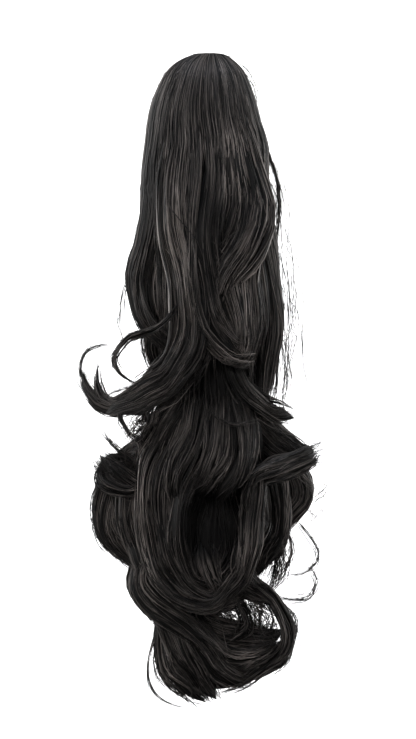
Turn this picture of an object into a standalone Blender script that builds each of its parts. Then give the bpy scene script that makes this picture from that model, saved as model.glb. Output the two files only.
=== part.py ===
"""A wavy ponytail hairpiece on a claw clip.

The clip lies in the hair's crown with its mouth to +Y, towards the wearer's head. The hair falls
down -Z, and its outer side faces -Y. The origin is the middle of the clip's grip. Three wefts are
sewn round the clip: long hair inside, middle hair over it, and short hair with the smooth crown
outside. Each weft is a backing of hair with its locks fused to it.
"""

import math
from collections import namedtuple

import bmesh
import bpy
from mathutils import Vector

# Hair sizes, in metres.
HAIR_LENGTH = 0.560  # from the crown's top to the longest tip
HAIR_WIDTH = 0.208  # from the leftmost flick to the rightmost
HAIR_DEPTH = 0.090
CROWN_CAP = 0.025  # hair above the clip's upper end
LOCK_SCALE = 1.0  # fullness of every lock

# Clip sizes, in metres.
CLIP_LENGTH = 0.090
CLIP_WIDTH = 0.054
CLIP_DEPTH = 0.042
CLIP_WALL = 0.003
CLIP_BARREL = 0.16  # how much narrower the clip is at its ends
TOOTH_COUNT = 7  # teeth on each jaw
TOOTH_HEIGHT = 0.006
TOOTH_TIP_HEIGHT = 0.0025
MOUTH_WIDTH = 0.014  # between the tips of facing teeth
JAW_ANGLE = math.radians(105)  # from the spine to where the teeth start

# Hanks that carry the two hidden wefts up to the clip, in metres.
LONG_HANK_WIDTH = 0.031
LONG_HANK_DEPTH = 0.020
MIDDLE_HANK_WALL = 0.010  # hair of the middle weft round the long hank
HANK_FLARE = 0.003  # height over which a hank opens out into its backing

SEAM_GAP = 0.0004  # between neighbouring pieces
LENS_SIDES = 8  # faces round a lock
RING_SIDES = 20  # faces round a backing
RING_SQUARENESS = 2.4  # 2 is an ellipse, more is boxier
BEND_STEPS = 2  # lock sections from one bend to the next

# A lock's fullness along its length, as shares.
ROOT_FULLNESS = 0.55  # gathered at the root
FULL_FROM = 0.15
TAPER_FROM = 0.45
TAPER_POWER = 1.5

CROWN_TOP = CLIP_LENGTH / 2 + CROWN_CAP
CLIP_FOOT = -CLIP_LENGTH / 2 - SEAM_GAP

# Sections of a backing: shares of the length, half the width and half the depth.
Ring = namedtuple("Ring", "drop side half_width front back")

SHORT_RINGS = (
    Ring(0.000, 0.00, 0.07, 0.10, 0.10),
    Ring(0.005, -0.02, 0.13, 0.20, 0.17),
    Ring(0.011, -0.05, 0.20, 0.31, 0.23),
    Ring(0.020, -0.05, 0.26, 0.42, 0.30),
    Ring(0.032, -0.05, 0.31, 0.53, 0.37),
    Ring(0.048, -0.05, 0.36, 0.62, 0.43),
    Ring(0.073, -0.06, 0.41, 0.71, 0.49),
    Ring(0.104, -0.05, 0.455, 0.78, 0.52),
    Ring(0.142, -0.03, 0.505, 0.84, 0.54),
    Ring(0.196, -0.02, 0.54, 0.90, 0.56),
    Ring(0.258, -0.02, 0.545, 0.94, 0.60),
    Ring(0.335, -0.01, 0.53, 0.95, 0.64),
    Ring(0.413, 0.02, 0.51, 0.93, 0.66),
    Ring(0.451, 0.02, 0.46, 0.84, 0.60),
    Ring(0.475, 0.02, 0.37, 0.62, 0.46),
)
MIDDLE_RINGS = (
    Ring(0.484, 0.02, 0.38, 0.66, 0.50),
    Ring(0.520, 0.01, 0.47, 0.72, 0.58),
    Ring(0.567, 0.01, 0.52, 0.74, 0.60),
    Ring(0.614, 0.01, 0.54, 0.74, 0.60),
    Ring(0.658, 0.02, 0.48, 0.70, 0.56),
    Ring(0.685, 0.02, 0.34, 0.50, 0.40),
)
LONG_RINGS = (
    Ring(0.693, 0.01, 0.42, 0.46, 0.42),
    Ring(0.722, -0.01, 0.60, 0.58, 0.56),
    Ring(0.768, -0.02, 0.62, 0.60, 0.58),
    Ring(0.815, -0.02, 0.54, 0.60, 0.56),
    Ring(0.853, -0.02, 0.45, 0.56, 0.50),
    Ring(0.892, 0.00, 0.38, 0.50, 0.40),
    Ring(0.938, 0.03, 0.32, 0.40, 0.30),
    Ring(0.975, 0.03, 0.20, 0.24, 0.18),
)

# Width and thickness are in metres, tip is the share of them left at the end, and facing is the
# compass side that the lock's flat side is turned to at its root: 0 is the outer side, -Y, and
# 90 is +X. Each bend is (drop, side, front), in the shares that a ring uses.
Lock = namedtuple("Lock", "name facing width thickness tip bends")

SHORT_LOCKS = (
    Lock("left_sweep", -55, 0.034, 0.016, 0.35, (
        (0.097, -0.26, 0.40), (0.196, -0.43, 0.46), (0.281, -0.51, 0.38), (0.351, -0.59, 0.30),
        (0.403, -0.53, 0.34), (0.442, -0.38, 0.44), (0.465, -0.20, 0.52))),
    Lock("left_fan", -10, 0.036, 0.015, 0.35, (
        (0.073, -0.15, 0.55), (0.181, -0.27, 0.78), (0.274, -0.27, 0.88), (0.366, -0.17, 0.93),
        (0.444, -0.17, 0.95), (0.496, -0.35, 0.95), (0.530, -0.60, 0.84), (0.553, -0.85, 0.67))),
    Lock("loop_lock", -20, 0.006, 0.0045, 0.80, (
        (0.372, -0.21, 0.92), (0.416, -0.37, 0.98), (0.431, -0.53, 0.92), (0.445, -0.70, 0.80),
        (0.470, -0.78, 0.72), (0.493, -0.73, 0.76), (0.512, -0.57, 0.82))),
    Lock("left_flick", -30, 0.018, 0.010, 0.12, (
        (0.440, -0.22, 0.36), (0.500, -0.42, 0.46), (0.541, -0.68, 0.48), (0.541, -0.90, 0.36),
        (0.518, -1.01, 0.22), (0.488, -1.06, 0.12))),
    Lock("centre_left", 0, 0.034, 0.015, 0.30, (
        (0.066, -0.03, 0.58), (0.181, 0.00, 0.86), (0.274, -0.06, 0.94), (0.366, -0.04, 0.98),
        (0.436, 0.08, 0.96), (0.468, 0.23, 0.80), (0.478, 0.33, 0.48))),
    Lock("centre_right", 10, 0.030, 0.014, 0.30, (
        (0.073, 0.19, 0.53), (0.165, 0.36, 0.76), (0.235, 0.43, 0.84), (0.298, 0.33, 0.96),
        (0.343, 0.13, 1.04), (0.400, 0.00, 1.02), (0.451, 0.05, 0.92))),
    Lock("right_sweep", 45, 0.036, 0.016, 0.35, (
        (0.097, 0.24, 0.40), (0.196, 0.40, 0.50), (0.289, 0.43, 0.50), (0.366, 0.46, 0.50),
        (0.428, 0.50, 0.46), (0.484, 0.45, 0.44), (0.524, 0.30, 0.48))),
    Lock("right_flick", 5, 0.024, 0.010, 0.12, (
        (0.397, 0.07, 0.84), (0.459, 0.05, 0.78), (0.509, 0.13, 0.76), (0.540, 0.33, 0.70),
        (0.556, 0.54, 0.58), (0.566, 0.71, 0.44))),
    Lock("right_inner", 20, 0.030, 0.013, 0.30, (
        (0.274, 0.28, 0.82), (0.351, 0.35, 0.88), (0.413, 0.38, 0.92), (0.462, 0.32, 0.92),
        (0.493, 0.15, 0.80))),
    Lock("nape_left", -150, 0.040, 0.014, 0.30, (
        (0.227, -0.22, -0.44), (0.304, -0.35, -0.54), (0.382, -0.28, -0.60), (0.459, -0.42, -0.58),
        (0.524, -0.30, -0.48))),
    Lock("nape_right", 150, 0.040, 0.014, 0.30, (
        (0.227, 0.22, -0.44), (0.304, 0.35, -0.54), (0.382, 0.28, -0.60), (0.451, 0.40, -0.58),
        (0.518, 0.30, -0.48))),
)
MIDDLE_LOCKS = (
    Lock("left_knob", -30, 0.022, 0.010, 0.45, (
        (0.530, -0.30, 0.10), (0.580, -0.50, 0.06), (0.609, -0.72, 0.10), (0.623, -0.86, 0.26),
        (0.640, -0.84, 0.46), (0.655, -0.70, 0.56), (0.652, -0.56, 0.50))),
    Lock("left_veil", -20, 0.030, 0.010, 0.30, (
        (0.513, -0.22, 0.40), (0.560, -0.44, 0.52), (0.595, -0.62, 0.48), (0.617, -0.76, 0.36))),
    Lock("centre_fan", 0, 0.034, 0.013, 0.30, (
        (0.513, 0.13, 0.56), (0.567, 0.22, 0.72), (0.614, 0.23, 0.80), (0.657, 0.15, 0.80),
        (0.685, 0.02, 0.68))),
    Lock("left_fall", -10, 0.030, 0.013, 0.30, (
        (0.515, -0.03, 0.56), (0.575, -0.13, 0.70), (0.621, -0.22, 0.78), (0.668, -0.28, 0.78),
        (0.709, -0.23, 0.68))),
    Lock("right_wing", 20, 0.020, 0.010, 0.40, (
        (0.515, 0.23, 0.30), (0.564, 0.43, 0.30), (0.594, 0.62, 0.26), (0.609, 0.78, 0.28),
        (0.620, 0.86, 0.46), (0.632, 0.74, 0.66), (0.646, 0.52, 0.76), (0.668, 0.36, 0.78))),
    Lock("right_fall", 60, 0.030, 0.015, 0.30, (
        (0.521, 0.36, 0.14), (0.575, 0.47, 0.08), (0.629, 0.50, 0.06), (0.683, 0.44, 0.10))),
    Lock("nape_left", -150, 0.036, 0.014, 0.30, (
        (0.524, -0.20, -0.44), (0.595, -0.37, -0.54), (0.657, -0.30, -0.56), (0.709, -0.12, -0.46))),
    Lock("nape_right", 150, 0.036, 0.014, 0.30, (
        (0.524, 0.22, -0.44), (0.592, 0.40, -0.54), (0.660, 0.33, -0.56), (0.716, 0.15, -0.46))),
)
LONG_LOCKS = (
    Lock("great_curl", -25, 0.028, 0.016, 0.30, (
        (0.530, 0.02, 0.08), (0.555, -0.10, 0.36), (0.592, -0.27, 0.52), (0.645, -0.44, 0.56),
        (0.714, -0.50, 0.54), (0.776, -0.46, 0.58), (0.827, -0.30, 0.66), (0.849, -0.07, 0.66),
        (0.830, 0.13, 0.56), (0.793, 0.18, 0.44))),
    Lock("inner_curl", -5, 0.022, 0.012, 0.30, (
        (0.580, 0.04, 0.10), (0.610, -0.04, 0.50), (0.645, -0.14, 0.72), (0.699, -0.24, 0.74),
        (0.760, -0.26, 0.72), (0.808, -0.17, 0.68), (0.821, 0.02, 0.56))),
    Lock("left_bulge", -40, 0.036, 0.016, 0.35, (
        (0.580, -0.04, 0.00), (0.605, -0.48, -0.04), (0.651, -0.78, 0.00), (0.699, -0.87, 0.04),
        (0.740, -0.87, 0.08), (0.777, -0.78, 0.14), (0.808, -0.63, 0.22), (0.842, -0.50, 0.30))),
    Lock("left_drape", -30, 0.034, 0.014, 0.35, (
        (0.600, -0.20, 0.10), (0.640, -0.58, 0.24), (0.690, -0.66, 0.30), (0.740, -0.64, 0.32),
        (0.790, -0.56, 0.32), (0.835, -0.42, 0.34))),
    Lock("left_low", -40, 0.024, 0.013, 0.35, (
        (0.745, -0.44, 0.20), (0.811, -0.56, 0.26), (0.849, -0.48, 0.38), (0.876, -0.28, 0.50),
        (0.907, -0.07, 0.52), (0.944, 0.08, 0.42))),
    Lock("bottom_left", -20, 0.022, 0.011, 0.40, (
        (0.838, -0.24, 0.18), (0.901, -0.37, 0.22), (0.951, -0.31, 0.26), (0.981, -0.17, 0.26),
        (0.992, -0.02, 0.18))),
    Lock("right_drape", 30, 0.034, 0.014, 0.35, (
        (0.610, 0.22, 0.10), (0.645, 0.48, 0.34), (0.690, 0.54, 0.38), (0.735, 0.52, 0.38),
        (0.780, 0.40, 0.36), (0.820, 0.28, 0.34))),
    Lock("right_bulge", 40, 0.036, 0.016, 0.35, (
        (0.590, 0.10, 0.00), (0.617, 0.50, 0.02), (0.654, 0.66, 0.08), (0.691, 0.71, 0.12),
        (0.725, 0.67, 0.16), (0.762, 0.53, 0.24), (0.796, 0.38, 0.34), (0.833, 0.28, 0.38))),
    Lock("right_inner", 10, 0.024, 0.013, 0.30, (
        (0.610, 0.14, 0.10), (0.645, 0.35, 0.56), (0.675, 0.36, 0.72), (0.714, 0.33, 0.74),
        (0.760, 0.33, 0.72), (0.802, 0.28, 0.68), (0.845, 0.15, 0.58), (0.879, 0.05, 0.50))),
    Lock("bottom_right", 15, 0.016, 0.011, 0.50, (
        (0.793, 0.20, 0.30), (0.830, 0.43, 0.38), (0.855, 0.58, 0.42), (0.889, 0.64, 0.42),
        (0.923, 0.58, 0.38), (0.954, 0.43, 0.34), (0.975, 0.23, 0.26), (0.981, 0.05, 0.18))),
    Lock("bottom_middle", 0, 0.024, 0.012, 0.30, (
        (0.864, -0.02, 0.40), (0.901, 0.10, 0.50), (0.935, 0.03, 0.48), (0.964, 0.05, 0.36),
        (0.974, 0.20, 0.24))),
    Lock("tail_left", -150, 0.034, 0.014, 0.30, (
        (0.722, -0.23, -0.46), (0.784, -0.40, -0.52), (0.845, -0.30, -0.46), (0.907, -0.10, -0.34),
        (0.960, -0.03, -0.16))),
    Lock("tail_right", 150, 0.034, 0.014, 0.30, (
        (0.722, 0.25, -0.46), (0.777, 0.45, -0.52), (0.845, 0.38, -0.46), (0.907, 0.23, -0.34),
        (0.957, 0.13, -0.16))),
)


def place(drop, side, front):
    """The point at these shares of the hair's length, half width and half depth."""
    return Vector((
        side * HAIR_WIDTH / 2,
        -front * HAIR_DEPTH / 2,
        CROWN_TOP - drop * HAIR_LENGTH,
    ))


def clear_scene():
    for obj in list(bpy.data.objects):
        bpy.data.objects.remove(obj, do_unlink=True)


def colour_material(name, colour, roughness):
    material = bpy.data.materials.new(name)
    material.use_nodes = True
    shader = material.node_tree.nodes["Principled BSDF"]
    shader.inputs["Base Color"].default_value = (*colour, 1.0)
    shader.inputs["Roughness"].default_value = roughness
    shader.inputs["Metallic"].default_value = 0.0
    return material


def add_object(name, bm):
    """A new object from the bmesh, with its faces pointing out."""
    bmesh.ops.recalc_face_normals(bm, faces=bm.faces)
    mesh = bpy.data.meshes.new(name)
    bm.to_mesh(mesh)
    bm.free()
    obj = bpy.data.objects.new(name, mesh)
    bpy.context.scene.collection.objects.link(obj)
    return obj


def skin_rings(bm, rings):
    """Joins rings of equally many points into one closed skin with flat ends."""
    loops = [[bm.verts.new(point) for point in ring] for ring in rings]
    for near, far in zip(loops, loops[1:]):
        for i in range(len(near)):
            j = (i + 1) % len(near)
            bm.faces.new((near[i], near[j], far[j], far[i]))
    bm.faces.new(loops[0])
    bm.faces.new(list(reversed(loops[-1])))


def superellipse(angle, squareness):
    """A point of a rounded box of half sizes 1, with angle 0 at the front."""
    power = 2 / squareness
    across, ahead = math.sin(angle), math.cos(angle)
    return (
        math.copysign(abs(across) ** power, across),
        math.copysign(abs(ahead) ** power, ahead),
    )


def backing_section(height, centre_x, half_width, front, back):
    """One level ring of a backing, with its own depth in front and behind."""
    points = []
    for i in range(RING_SIDES):
        across, ahead = superellipse(2 * math.pi * i / RING_SIDES, RING_SQUARENESS)
        reach = front if ahead > 0 else back
        points.append(Vector((centre_x + half_width * across, -reach * ahead, height)))
    return points


def ring_sections(rings, swell):
    """The sections of a table of rings, grown by swell all round and at both ends."""
    sections = []
    for i, ring in enumerate(rings):
        end = (i == 0) - (i == len(rings) - 1)
        centre = place(ring.drop, ring.side, 0)
        sections.append(backing_section(
            centre.z + end * swell,
            centre.x,
            ring.half_width * HAIR_WIDTH / 2 + swell,
            ring.front * HAIR_DEPTH / 2 + swell,
            ring.back * HAIR_DEPTH / 2 + swell,
        ))
    return sections


def hank_sections(width, depth, rings, swell):
    """A plain hank from the clip's foot down to the first of the rings that it feeds."""
    first = place(rings[0].drop, rings[0].side, 0)
    heights = (CLIP_FOOT + swell, first.z + HANK_FLARE)
    return [
        backing_section(height, first.x, width / 2 + swell, depth / 2 + swell, depth / 2 + swell)
        for height in heights
    ]


def backing(name, rings, swell=0.0, hank=None):
    """A backing of hair, with the hank that carries it up to the clip."""
    sections = ring_sections(rings, swell)
    if hank:
        sections = hank_sections(*hank, rings, swell) + sections
    bm = bmesh.new()
    skin_rings(bm, sections)
    return add_object(name, bm)


def smooth_route(bends):
    """Points along a Catmull-Rom curve through the bends."""
    points = [place(*bend) for bend in bends]
    padded = [2 * points[0] - points[1], *points, 2 * points[-1] - points[-2]]
    route = []
    for before, start, end, after in zip(padded, padded[1:], padded[2:], padded[3:]):
        for step in range(BEND_STEPS):
            t = step / BEND_STEPS
            route.append(0.5 * (
                2 * start
                + (end - before) * t
                + (2 * before - 5 * start + 4 * end - after) * t**2
                + (3 * start - before - 3 * end + after) * t**3
            ))
    return [*route, points[-1]]


def lock_fullness(share, tip):
    """How full a lock is at a share of its length: gathered at the root, slender at the tip."""
    gathered = min(1.0, ROOT_FULLNESS + (1 - ROOT_FULLNESS) * share / FULL_FROM)
    ending = max(0.0, (share - TAPER_FROM) / (1 - TAPER_FROM))
    return gathered * (1 - (1 - tip) * ending**TAPER_POWER)


def lock_body(lock, swell=0.0):
    """A lock as a flattened tube, whose flat side is carried along its route without twist."""
    route = smooth_route(lock.bends)
    facing = math.radians(lock.facing)
    outward = Vector((math.sin(facing), -math.cos(facing), 0))
    sections = []
    for i, point in enumerate(route):
        ahead = (route[min(i + 1, len(route) - 1)] - route[max(i - 1, 0)]).normalized()
        outward = (outward - outward.dot(ahead) * ahead).normalized()
        sideways = ahead.cross(outward)
        full = lock_fullness(i / (len(route) - 1), lock.tip) * LOCK_SCALE
        half_width = lock.width / 2 * full + swell
        half_thickness = lock.thickness / 2 * full + swell
        end = (i == len(route) - 1) - (i == 0)
        centre = point + ahead * end * swell
        sections.append([
            centre
            + sideways * half_width * math.sin(2 * math.pi * k / LENS_SIDES)
            + outward * half_thickness * math.cos(2 * math.pi * k / LENS_SIDES)
            for k in range(LENS_SIDES)
        ])
    bm = bmesh.new()
    skin_rings(bm, sections)
    return add_object("lock_" + lock.name, bm)


def combine(obj, others, operation):
    """Joins the others to the object, or cuts them out of it, and removes them."""
    group = bpy.data.collections.new(obj.name + "_" + operation.lower())
    for other in others:
        group.objects.link(other)
    modifier = obj.modifiers.new(operation.title(), "BOOLEAN")
    modifier.operation = operation
    modifier.operand_type = "COLLECTION"
    modifier.collection = group
    modifier.solver = "EXACT"
    modifier.use_self = True
    graph = bpy.context.evaluated_depsgraph_get()
    result = bpy.data.meshes.new_from_object(obj.evaluated_get(graph), depsgraph=graph)
    obj.modifiers.clear()
    obj.data = result
    for other in others:
        bpy.data.objects.remove(other, do_unlink=True)
    bpy.data.collections.remove(group)


def signed_volume(faces):
    """Six times the volume inside these faces."""
    total = 0.0
    for face in faces:
        corners = [vert.co for vert in face.verts]
        for near, far in zip(corners[1:], corners[2:]):
            total += corners[0].dot(near.cross(far))
    return total


def keep_largest_body(obj):
    """Drops the scraps that a cut leaves loose inside the hair."""
    bm = bmesh.new()
    bm.from_mesh(obj.data)
    unseen = set(bm.faces)
    bodies = []
    while unseen:
        body, edge_of_body = set(), [unseen.pop()]
        while edge_of_body:
            face = edge_of_body.pop()
            body.add(face)
            for edge in face.edges:
                for other in edge.link_faces:
                    if other in unseen:
                        unseen.remove(other)
                        edge_of_body.append(other)
        bodies.append(body)
    bodies.sort(key=signed_volume)
    scraps = [face for body in bodies[:-1] for face in body]
    bmesh.ops.delete(bm, geom=scraps, context="FACES")
    bm.to_mesh(obj.data)
    bm.free()


def jaw_radii(height):
    """Half the clip's width and depth at a height, which shrink towards its ends."""
    barrel = 1 - CLIP_BARREL * (2 * height / CLIP_LENGTH) ** 2
    return CLIP_WIDTH / 2 * barrel, CLIP_DEPTH / 2


def jaw_point(angle, height):
    """A point on the clip's outer surface. Angle 0 is the spine, at the front."""
    across, ahead = jaw_radii(height)
    return Vector((across * math.sin(angle), -ahead * math.cos(angle), height))


def tooth_rows():
    """Lower and upper edge of each tooth, evenly spread along the clip."""
    pitch = CLIP_LENGTH / TOOTH_COUNT
    middles = [-CLIP_LENGTH / 2 + pitch * (k + 0.5) for k in range(TOOTH_COUNT)]
    return [(middle - TOOTH_HEIGHT / 2, middle + TOOTH_HEIGHT / 2) for middle in middles]


def claw_clip():
    """The two jaws and their teeth in one piece, held a little open."""
    plate_steps, tooth_steps = 12, 4
    rows = [-CLIP_LENGTH / 2, *(z for row in tooth_rows() for z in row), CLIP_LENGTH / 2]
    angles = [JAW_ANGLE * (2 * i / plate_steps - 1) for i in range(plate_steps + 1)]
    bm = bmesh.new()
    grid = [[bm.verts.new(jaw_point(angle, z)) for angle in angles] for z in rows]
    for lower, upper in zip(grid, grid[1:]):
        for i in range(plate_steps):
            bm.faces.new((lower[i], lower[i + 1], upper[i + 1], upper[i]))
    tip_angle = math.pi - math.asin(MOUTH_WIDTH / CLIP_WIDTH)
    for row, (bottom, top) in enumerate(tooth_rows()):
        lower, upper = grid[2 * row + 1], grid[2 * row + 2]
        for edge, turn in ((0, -1), (-1, 1)):
            last = [lower[edge], upper[edge]]
            for step in range(1, tooth_steps + 1):
                share = step / tooth_steps
                angle = turn * (JAW_ANGLE + (tip_angle - JAW_ANGLE) * share)
                taper = (TOOTH_HEIGHT - TOOTH_TIP_HEIGHT) / 2 * share
                new = [bm.verts.new(jaw_point(angle, z)) for z in (bottom + taper, top - taper)]
                bm.faces.new((last[0], new[0], new[1], last[1])[::turn])
                last = new
    obj = add_object("claw_clip", bm)
    wall = obj.modifiers.new("Wall", "SOLIDIFY")
    wall.thickness = CLIP_WALL
    wall.offset = -1
    wall.use_even_offset = True
    return obj


def clip_pocket():
    """Cutter for the room that the clip takes, open to the back."""
    steps = 16
    outline = []
    for i in range(steps + 1):
        angle = math.pi * (i / steps - 0.5)
        outline.append((
            (CLIP_WIDTH / 2 + SEAM_GAP) * math.sin(angle),
            -(CLIP_DEPTH / 2 + SEAM_GAP) * math.cos(angle),
        ))
    outline = [(outline[0][0], HAIR_DEPTH), *outline, (outline[-1][0], HAIR_DEPTH)]
    heights = (CLIP_FOOT, -CLIP_FOOT)
    bm = bmesh.new()
    skin_rings(bm, [[Vector((x, y, z)) for x, y in outline] for z in heights])
    return add_object("clip_pocket", bm)


LONG_HANK = (LONG_HANK_WIDTH, LONG_HANK_DEPTH)
MIDDLE_HANK = (LONG_HANK_WIDTH + 2 * MIDDLE_HANK_WALL, LONG_HANK_DEPTH + 2 * MIDDLE_HANK_WALL)


def long_weft_solids(name, swell=0.0):
    return [
        backing(name, LONG_RINGS, swell, LONG_HANK),
        *(lock_body(lock, swell) for lock in LONG_LOCKS),
    ]


def middle_weft_solids(name, swell=0.0):
    return [
        backing(name, MIDDLE_RINGS, swell, MIDDLE_HANK),
        *(lock_body(lock, swell) for lock in MIDDLE_LOCKS),
    ]


def long_weft():
    hair, *locks = long_weft_solids("long_weft")
    combine(hair, locks, "UNION")
    keep_largest_body(hair)
    return hair


def middle_weft():
    hair, *locks = middle_weft_solids("middle_weft")
    combine(hair, locks, "UNION")
    combine(hair, long_weft_solids("room", SEAM_GAP), "DIFFERENCE")
    keep_largest_body(hair)
    return hair


def short_weft():
    hair = backing("short_weft", SHORT_RINGS)
    combine(hair, [lock_body(lock) for lock in SHORT_LOCKS], "UNION")
    room = [
        clip_pocket(),
        *middle_weft_solids("middle_room", SEAM_GAP),
        *long_weft_solids("long_room", SEAM_GAP),
    ]
    combine(hair, room, "DIFFERENCE")
    keep_largest_body(hair)
    return hair


def finish_piece(obj, material, sharp_angle=math.radians(50)):
    obj.data.materials.clear()
    obj.data.materials.append(material)
    obj.data.shade_smooth()
    obj.data.set_sharp_from_angle(angle=sharp_angle)


clear_scene()
hair_root = bpy.data.objects.new("hairpiece", None)
bpy.context.scene.collection.objects.link(hair_root)
for piece, material in (
    (claw_clip(), colour_material("black_plastic", (0.012, 0.012, 0.013), 0.35)),
    (short_weft(), colour_material("short_hair", (0.020, 0.017, 0.016), 0.42)),
    (middle_weft(), colour_material("middle_hair", (0.018, 0.015, 0.014), 0.42)),
    (long_weft(), colour_material("long_hair", (0.016, 0.014, 0.013), 0.42)),
):
    finish_piece(piece, material)
    piece.parent = hair_root
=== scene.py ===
"""The looks of a wavy, off-black ponytail hairpiece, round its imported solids.

Metres, +Z up. The origin is the middle of the clip's grip, +Y is the side towards the head, and
the camera looks at the hair's outer side from -Y.
"""
import math
from collections import namedtuple

import bpy
import numpy as np
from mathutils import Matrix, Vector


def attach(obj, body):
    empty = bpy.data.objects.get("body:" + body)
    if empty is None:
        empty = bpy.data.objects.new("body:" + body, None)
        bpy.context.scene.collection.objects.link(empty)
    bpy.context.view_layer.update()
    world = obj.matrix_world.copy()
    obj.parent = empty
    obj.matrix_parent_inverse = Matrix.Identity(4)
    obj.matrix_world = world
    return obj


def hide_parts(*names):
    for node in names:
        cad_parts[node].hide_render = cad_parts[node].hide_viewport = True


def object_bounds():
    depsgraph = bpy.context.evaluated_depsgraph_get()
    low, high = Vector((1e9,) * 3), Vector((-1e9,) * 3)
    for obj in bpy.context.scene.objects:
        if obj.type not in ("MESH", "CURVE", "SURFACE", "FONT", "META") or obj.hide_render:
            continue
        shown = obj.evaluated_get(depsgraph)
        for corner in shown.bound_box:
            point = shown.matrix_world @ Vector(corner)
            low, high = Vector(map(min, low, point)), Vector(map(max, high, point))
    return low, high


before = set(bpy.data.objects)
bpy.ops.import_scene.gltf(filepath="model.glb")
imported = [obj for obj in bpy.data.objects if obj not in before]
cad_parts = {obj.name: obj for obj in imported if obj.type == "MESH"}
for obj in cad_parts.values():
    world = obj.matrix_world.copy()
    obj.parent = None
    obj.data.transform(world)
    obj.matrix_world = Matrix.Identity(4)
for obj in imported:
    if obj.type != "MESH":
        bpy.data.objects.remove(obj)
cad_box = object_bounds()
bpy.ops.object.select_all(action="DESELECT")

# Claw clip. The hidden clasp is one moulding of black styrene plastic, whose two curved jaws and
# their teeth grip the gathered hair that it is worn on. It lies in the crown with its mouth to the
# head, and its edges are rounded where the mould parts.
CLIP_EDGE_RADIUS = 0.0006
CLIP_MELD = 0.00005  # corners closer than this are one
CLIP_PLANE = math.radians(2)  # faces that turn less than this are one
CLIP_CORNER = math.radians(40)  # edges that turn more than this are rounded
CLIP_SHADING = math.radians(35)

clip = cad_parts["claw_clip"].copy()
clip.data = clip.data.copy()
clip.name = clip.data.name = "moulded_clip"
for tag in list(clip.keys()):
    del clip[tag]
clip.parent = None
bpy.context.collection.objects.link(clip)
bpy.context.view_layer.objects.active = clip
clip.select_set(True)
bpy.ops.object.mode_set(mode="EDIT")
bpy.ops.mesh.select_all(action="SELECT")
bpy.ops.mesh.remove_doubles(threshold=CLIP_MELD)
bpy.ops.mesh.dissolve_limited(angle_limit=CLIP_PLANE)
bpy.ops.object.mode_set(mode="OBJECT")
clip_edges = clip.modifiers.new("Rounded edges", "BEVEL")
clip_edges.width = CLIP_EDGE_RADIUS
clip_edges.segments = 2
clip_edges.limit_method = "ANGLE"
clip_edges.angle_limit = CLIP_CORNER
bpy.ops.object.modifier_apply(modifier=clip_edges.name)
bpy.ops.object.shade_smooth_by_angle(angle=CLIP_SHADING)
clip.select_set(False)


def add_node(tree, kind, values=None):
    """A new node of this kind in a material's tree, with these inputs set."""
    node = tree.nodes.new(kind)
    for entry, value in (values or {}).items():
        node.inputs[entry].default_value = value
    return node


def wire(tree, *joins):
    """Joins nodes of a tree, each join given as a node, its output, the next node and its input."""
    for source, output, target, entry in joins:
        tree.links.new(source.outputs[output], target.inputs[entry])


clip_plastic = bpy.data.materials.new("clip_black_plastic")
clip_plastic.use_nodes = True
clip_tree = clip_plastic.node_tree
clip_shader = clip_tree.nodes["Principled BSDF"]
clip_shader.inputs["IOR"].default_value = 1.52
clip_place = add_node(clip_tree, "ShaderNodeTexCoord")
flow_marks = add_node(clip_tree, "ShaderNodeTexNoise", {"Scale": 90, "Detail": 4})
clip_tone = add_node(clip_tree, "ShaderNodeValToRGB")
clip_tone.color_ramp.elements[0].color = (0.008, 0.008, 0.009, 1)
clip_tone.color_ramp.elements[1].color = (0.018, 0.018, 0.020, 1)
clip_gloss = add_node(clip_tree, "ShaderNodeMapRange", {"To Min": 0.22, "To Max": 0.42})
scuffs = add_node(clip_tree, "ShaderNodeTexNoise", {"Scale": 1400})
scuff_bump = add_node(clip_tree, "ShaderNodeBump", {"Strength": 0.15, "Distance": 0.0001})
wire(
    clip_tree,
    (clip_place, "Object", flow_marks, "Vector"),
    (clip_place, "Object", scuffs, "Vector"),
    (flow_marks, "Fac", clip_tone, "Fac"),
    (flow_marks, "Fac", clip_gloss, "Value"),
    (scuffs, "Fac", scuff_bump, "Height"),
    (clip_tone, "Color", clip_shader, "Base Color"),
    (clip_gloss, "Result", clip_shader, "Roughness"),
    (scuff_bump, "Normal", clip_shader, "Normal"),
)
clip.data.materials.clear()
clip.data.materials.append(clip_plastic)
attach(clip, "root")
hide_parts("claw_clip")

# Backing of the short weft. It is hair gathered tight over the clip and sewn to a tape round it, and
# painted near black as shade, so it shows as a dark mass under the loose strands. The clip has a pocket
# in it, open to the head.
HAIR_LENGTH = 0.560
HAIR_WIDTH = 0.208
HAIR_DEPTH = 0.090
CROWN_TOP = 0.070
RING_SQUARENESS = 2.4
BACKING_SIDES = 40
UNDER_STRANDS = 0.0012  # how far a backing lies below the hair's surface
CLIP_ROOM = (0.0548, 0.0908)  # the pocket's width and height
CLIP_ROOM_FRONT = 0.0214
CLIP_ROOM_SIDES = 48
CLIP_ROOM_CORNER = math.radians(40)  # the pocket's edges stay sharp over this turn

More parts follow.
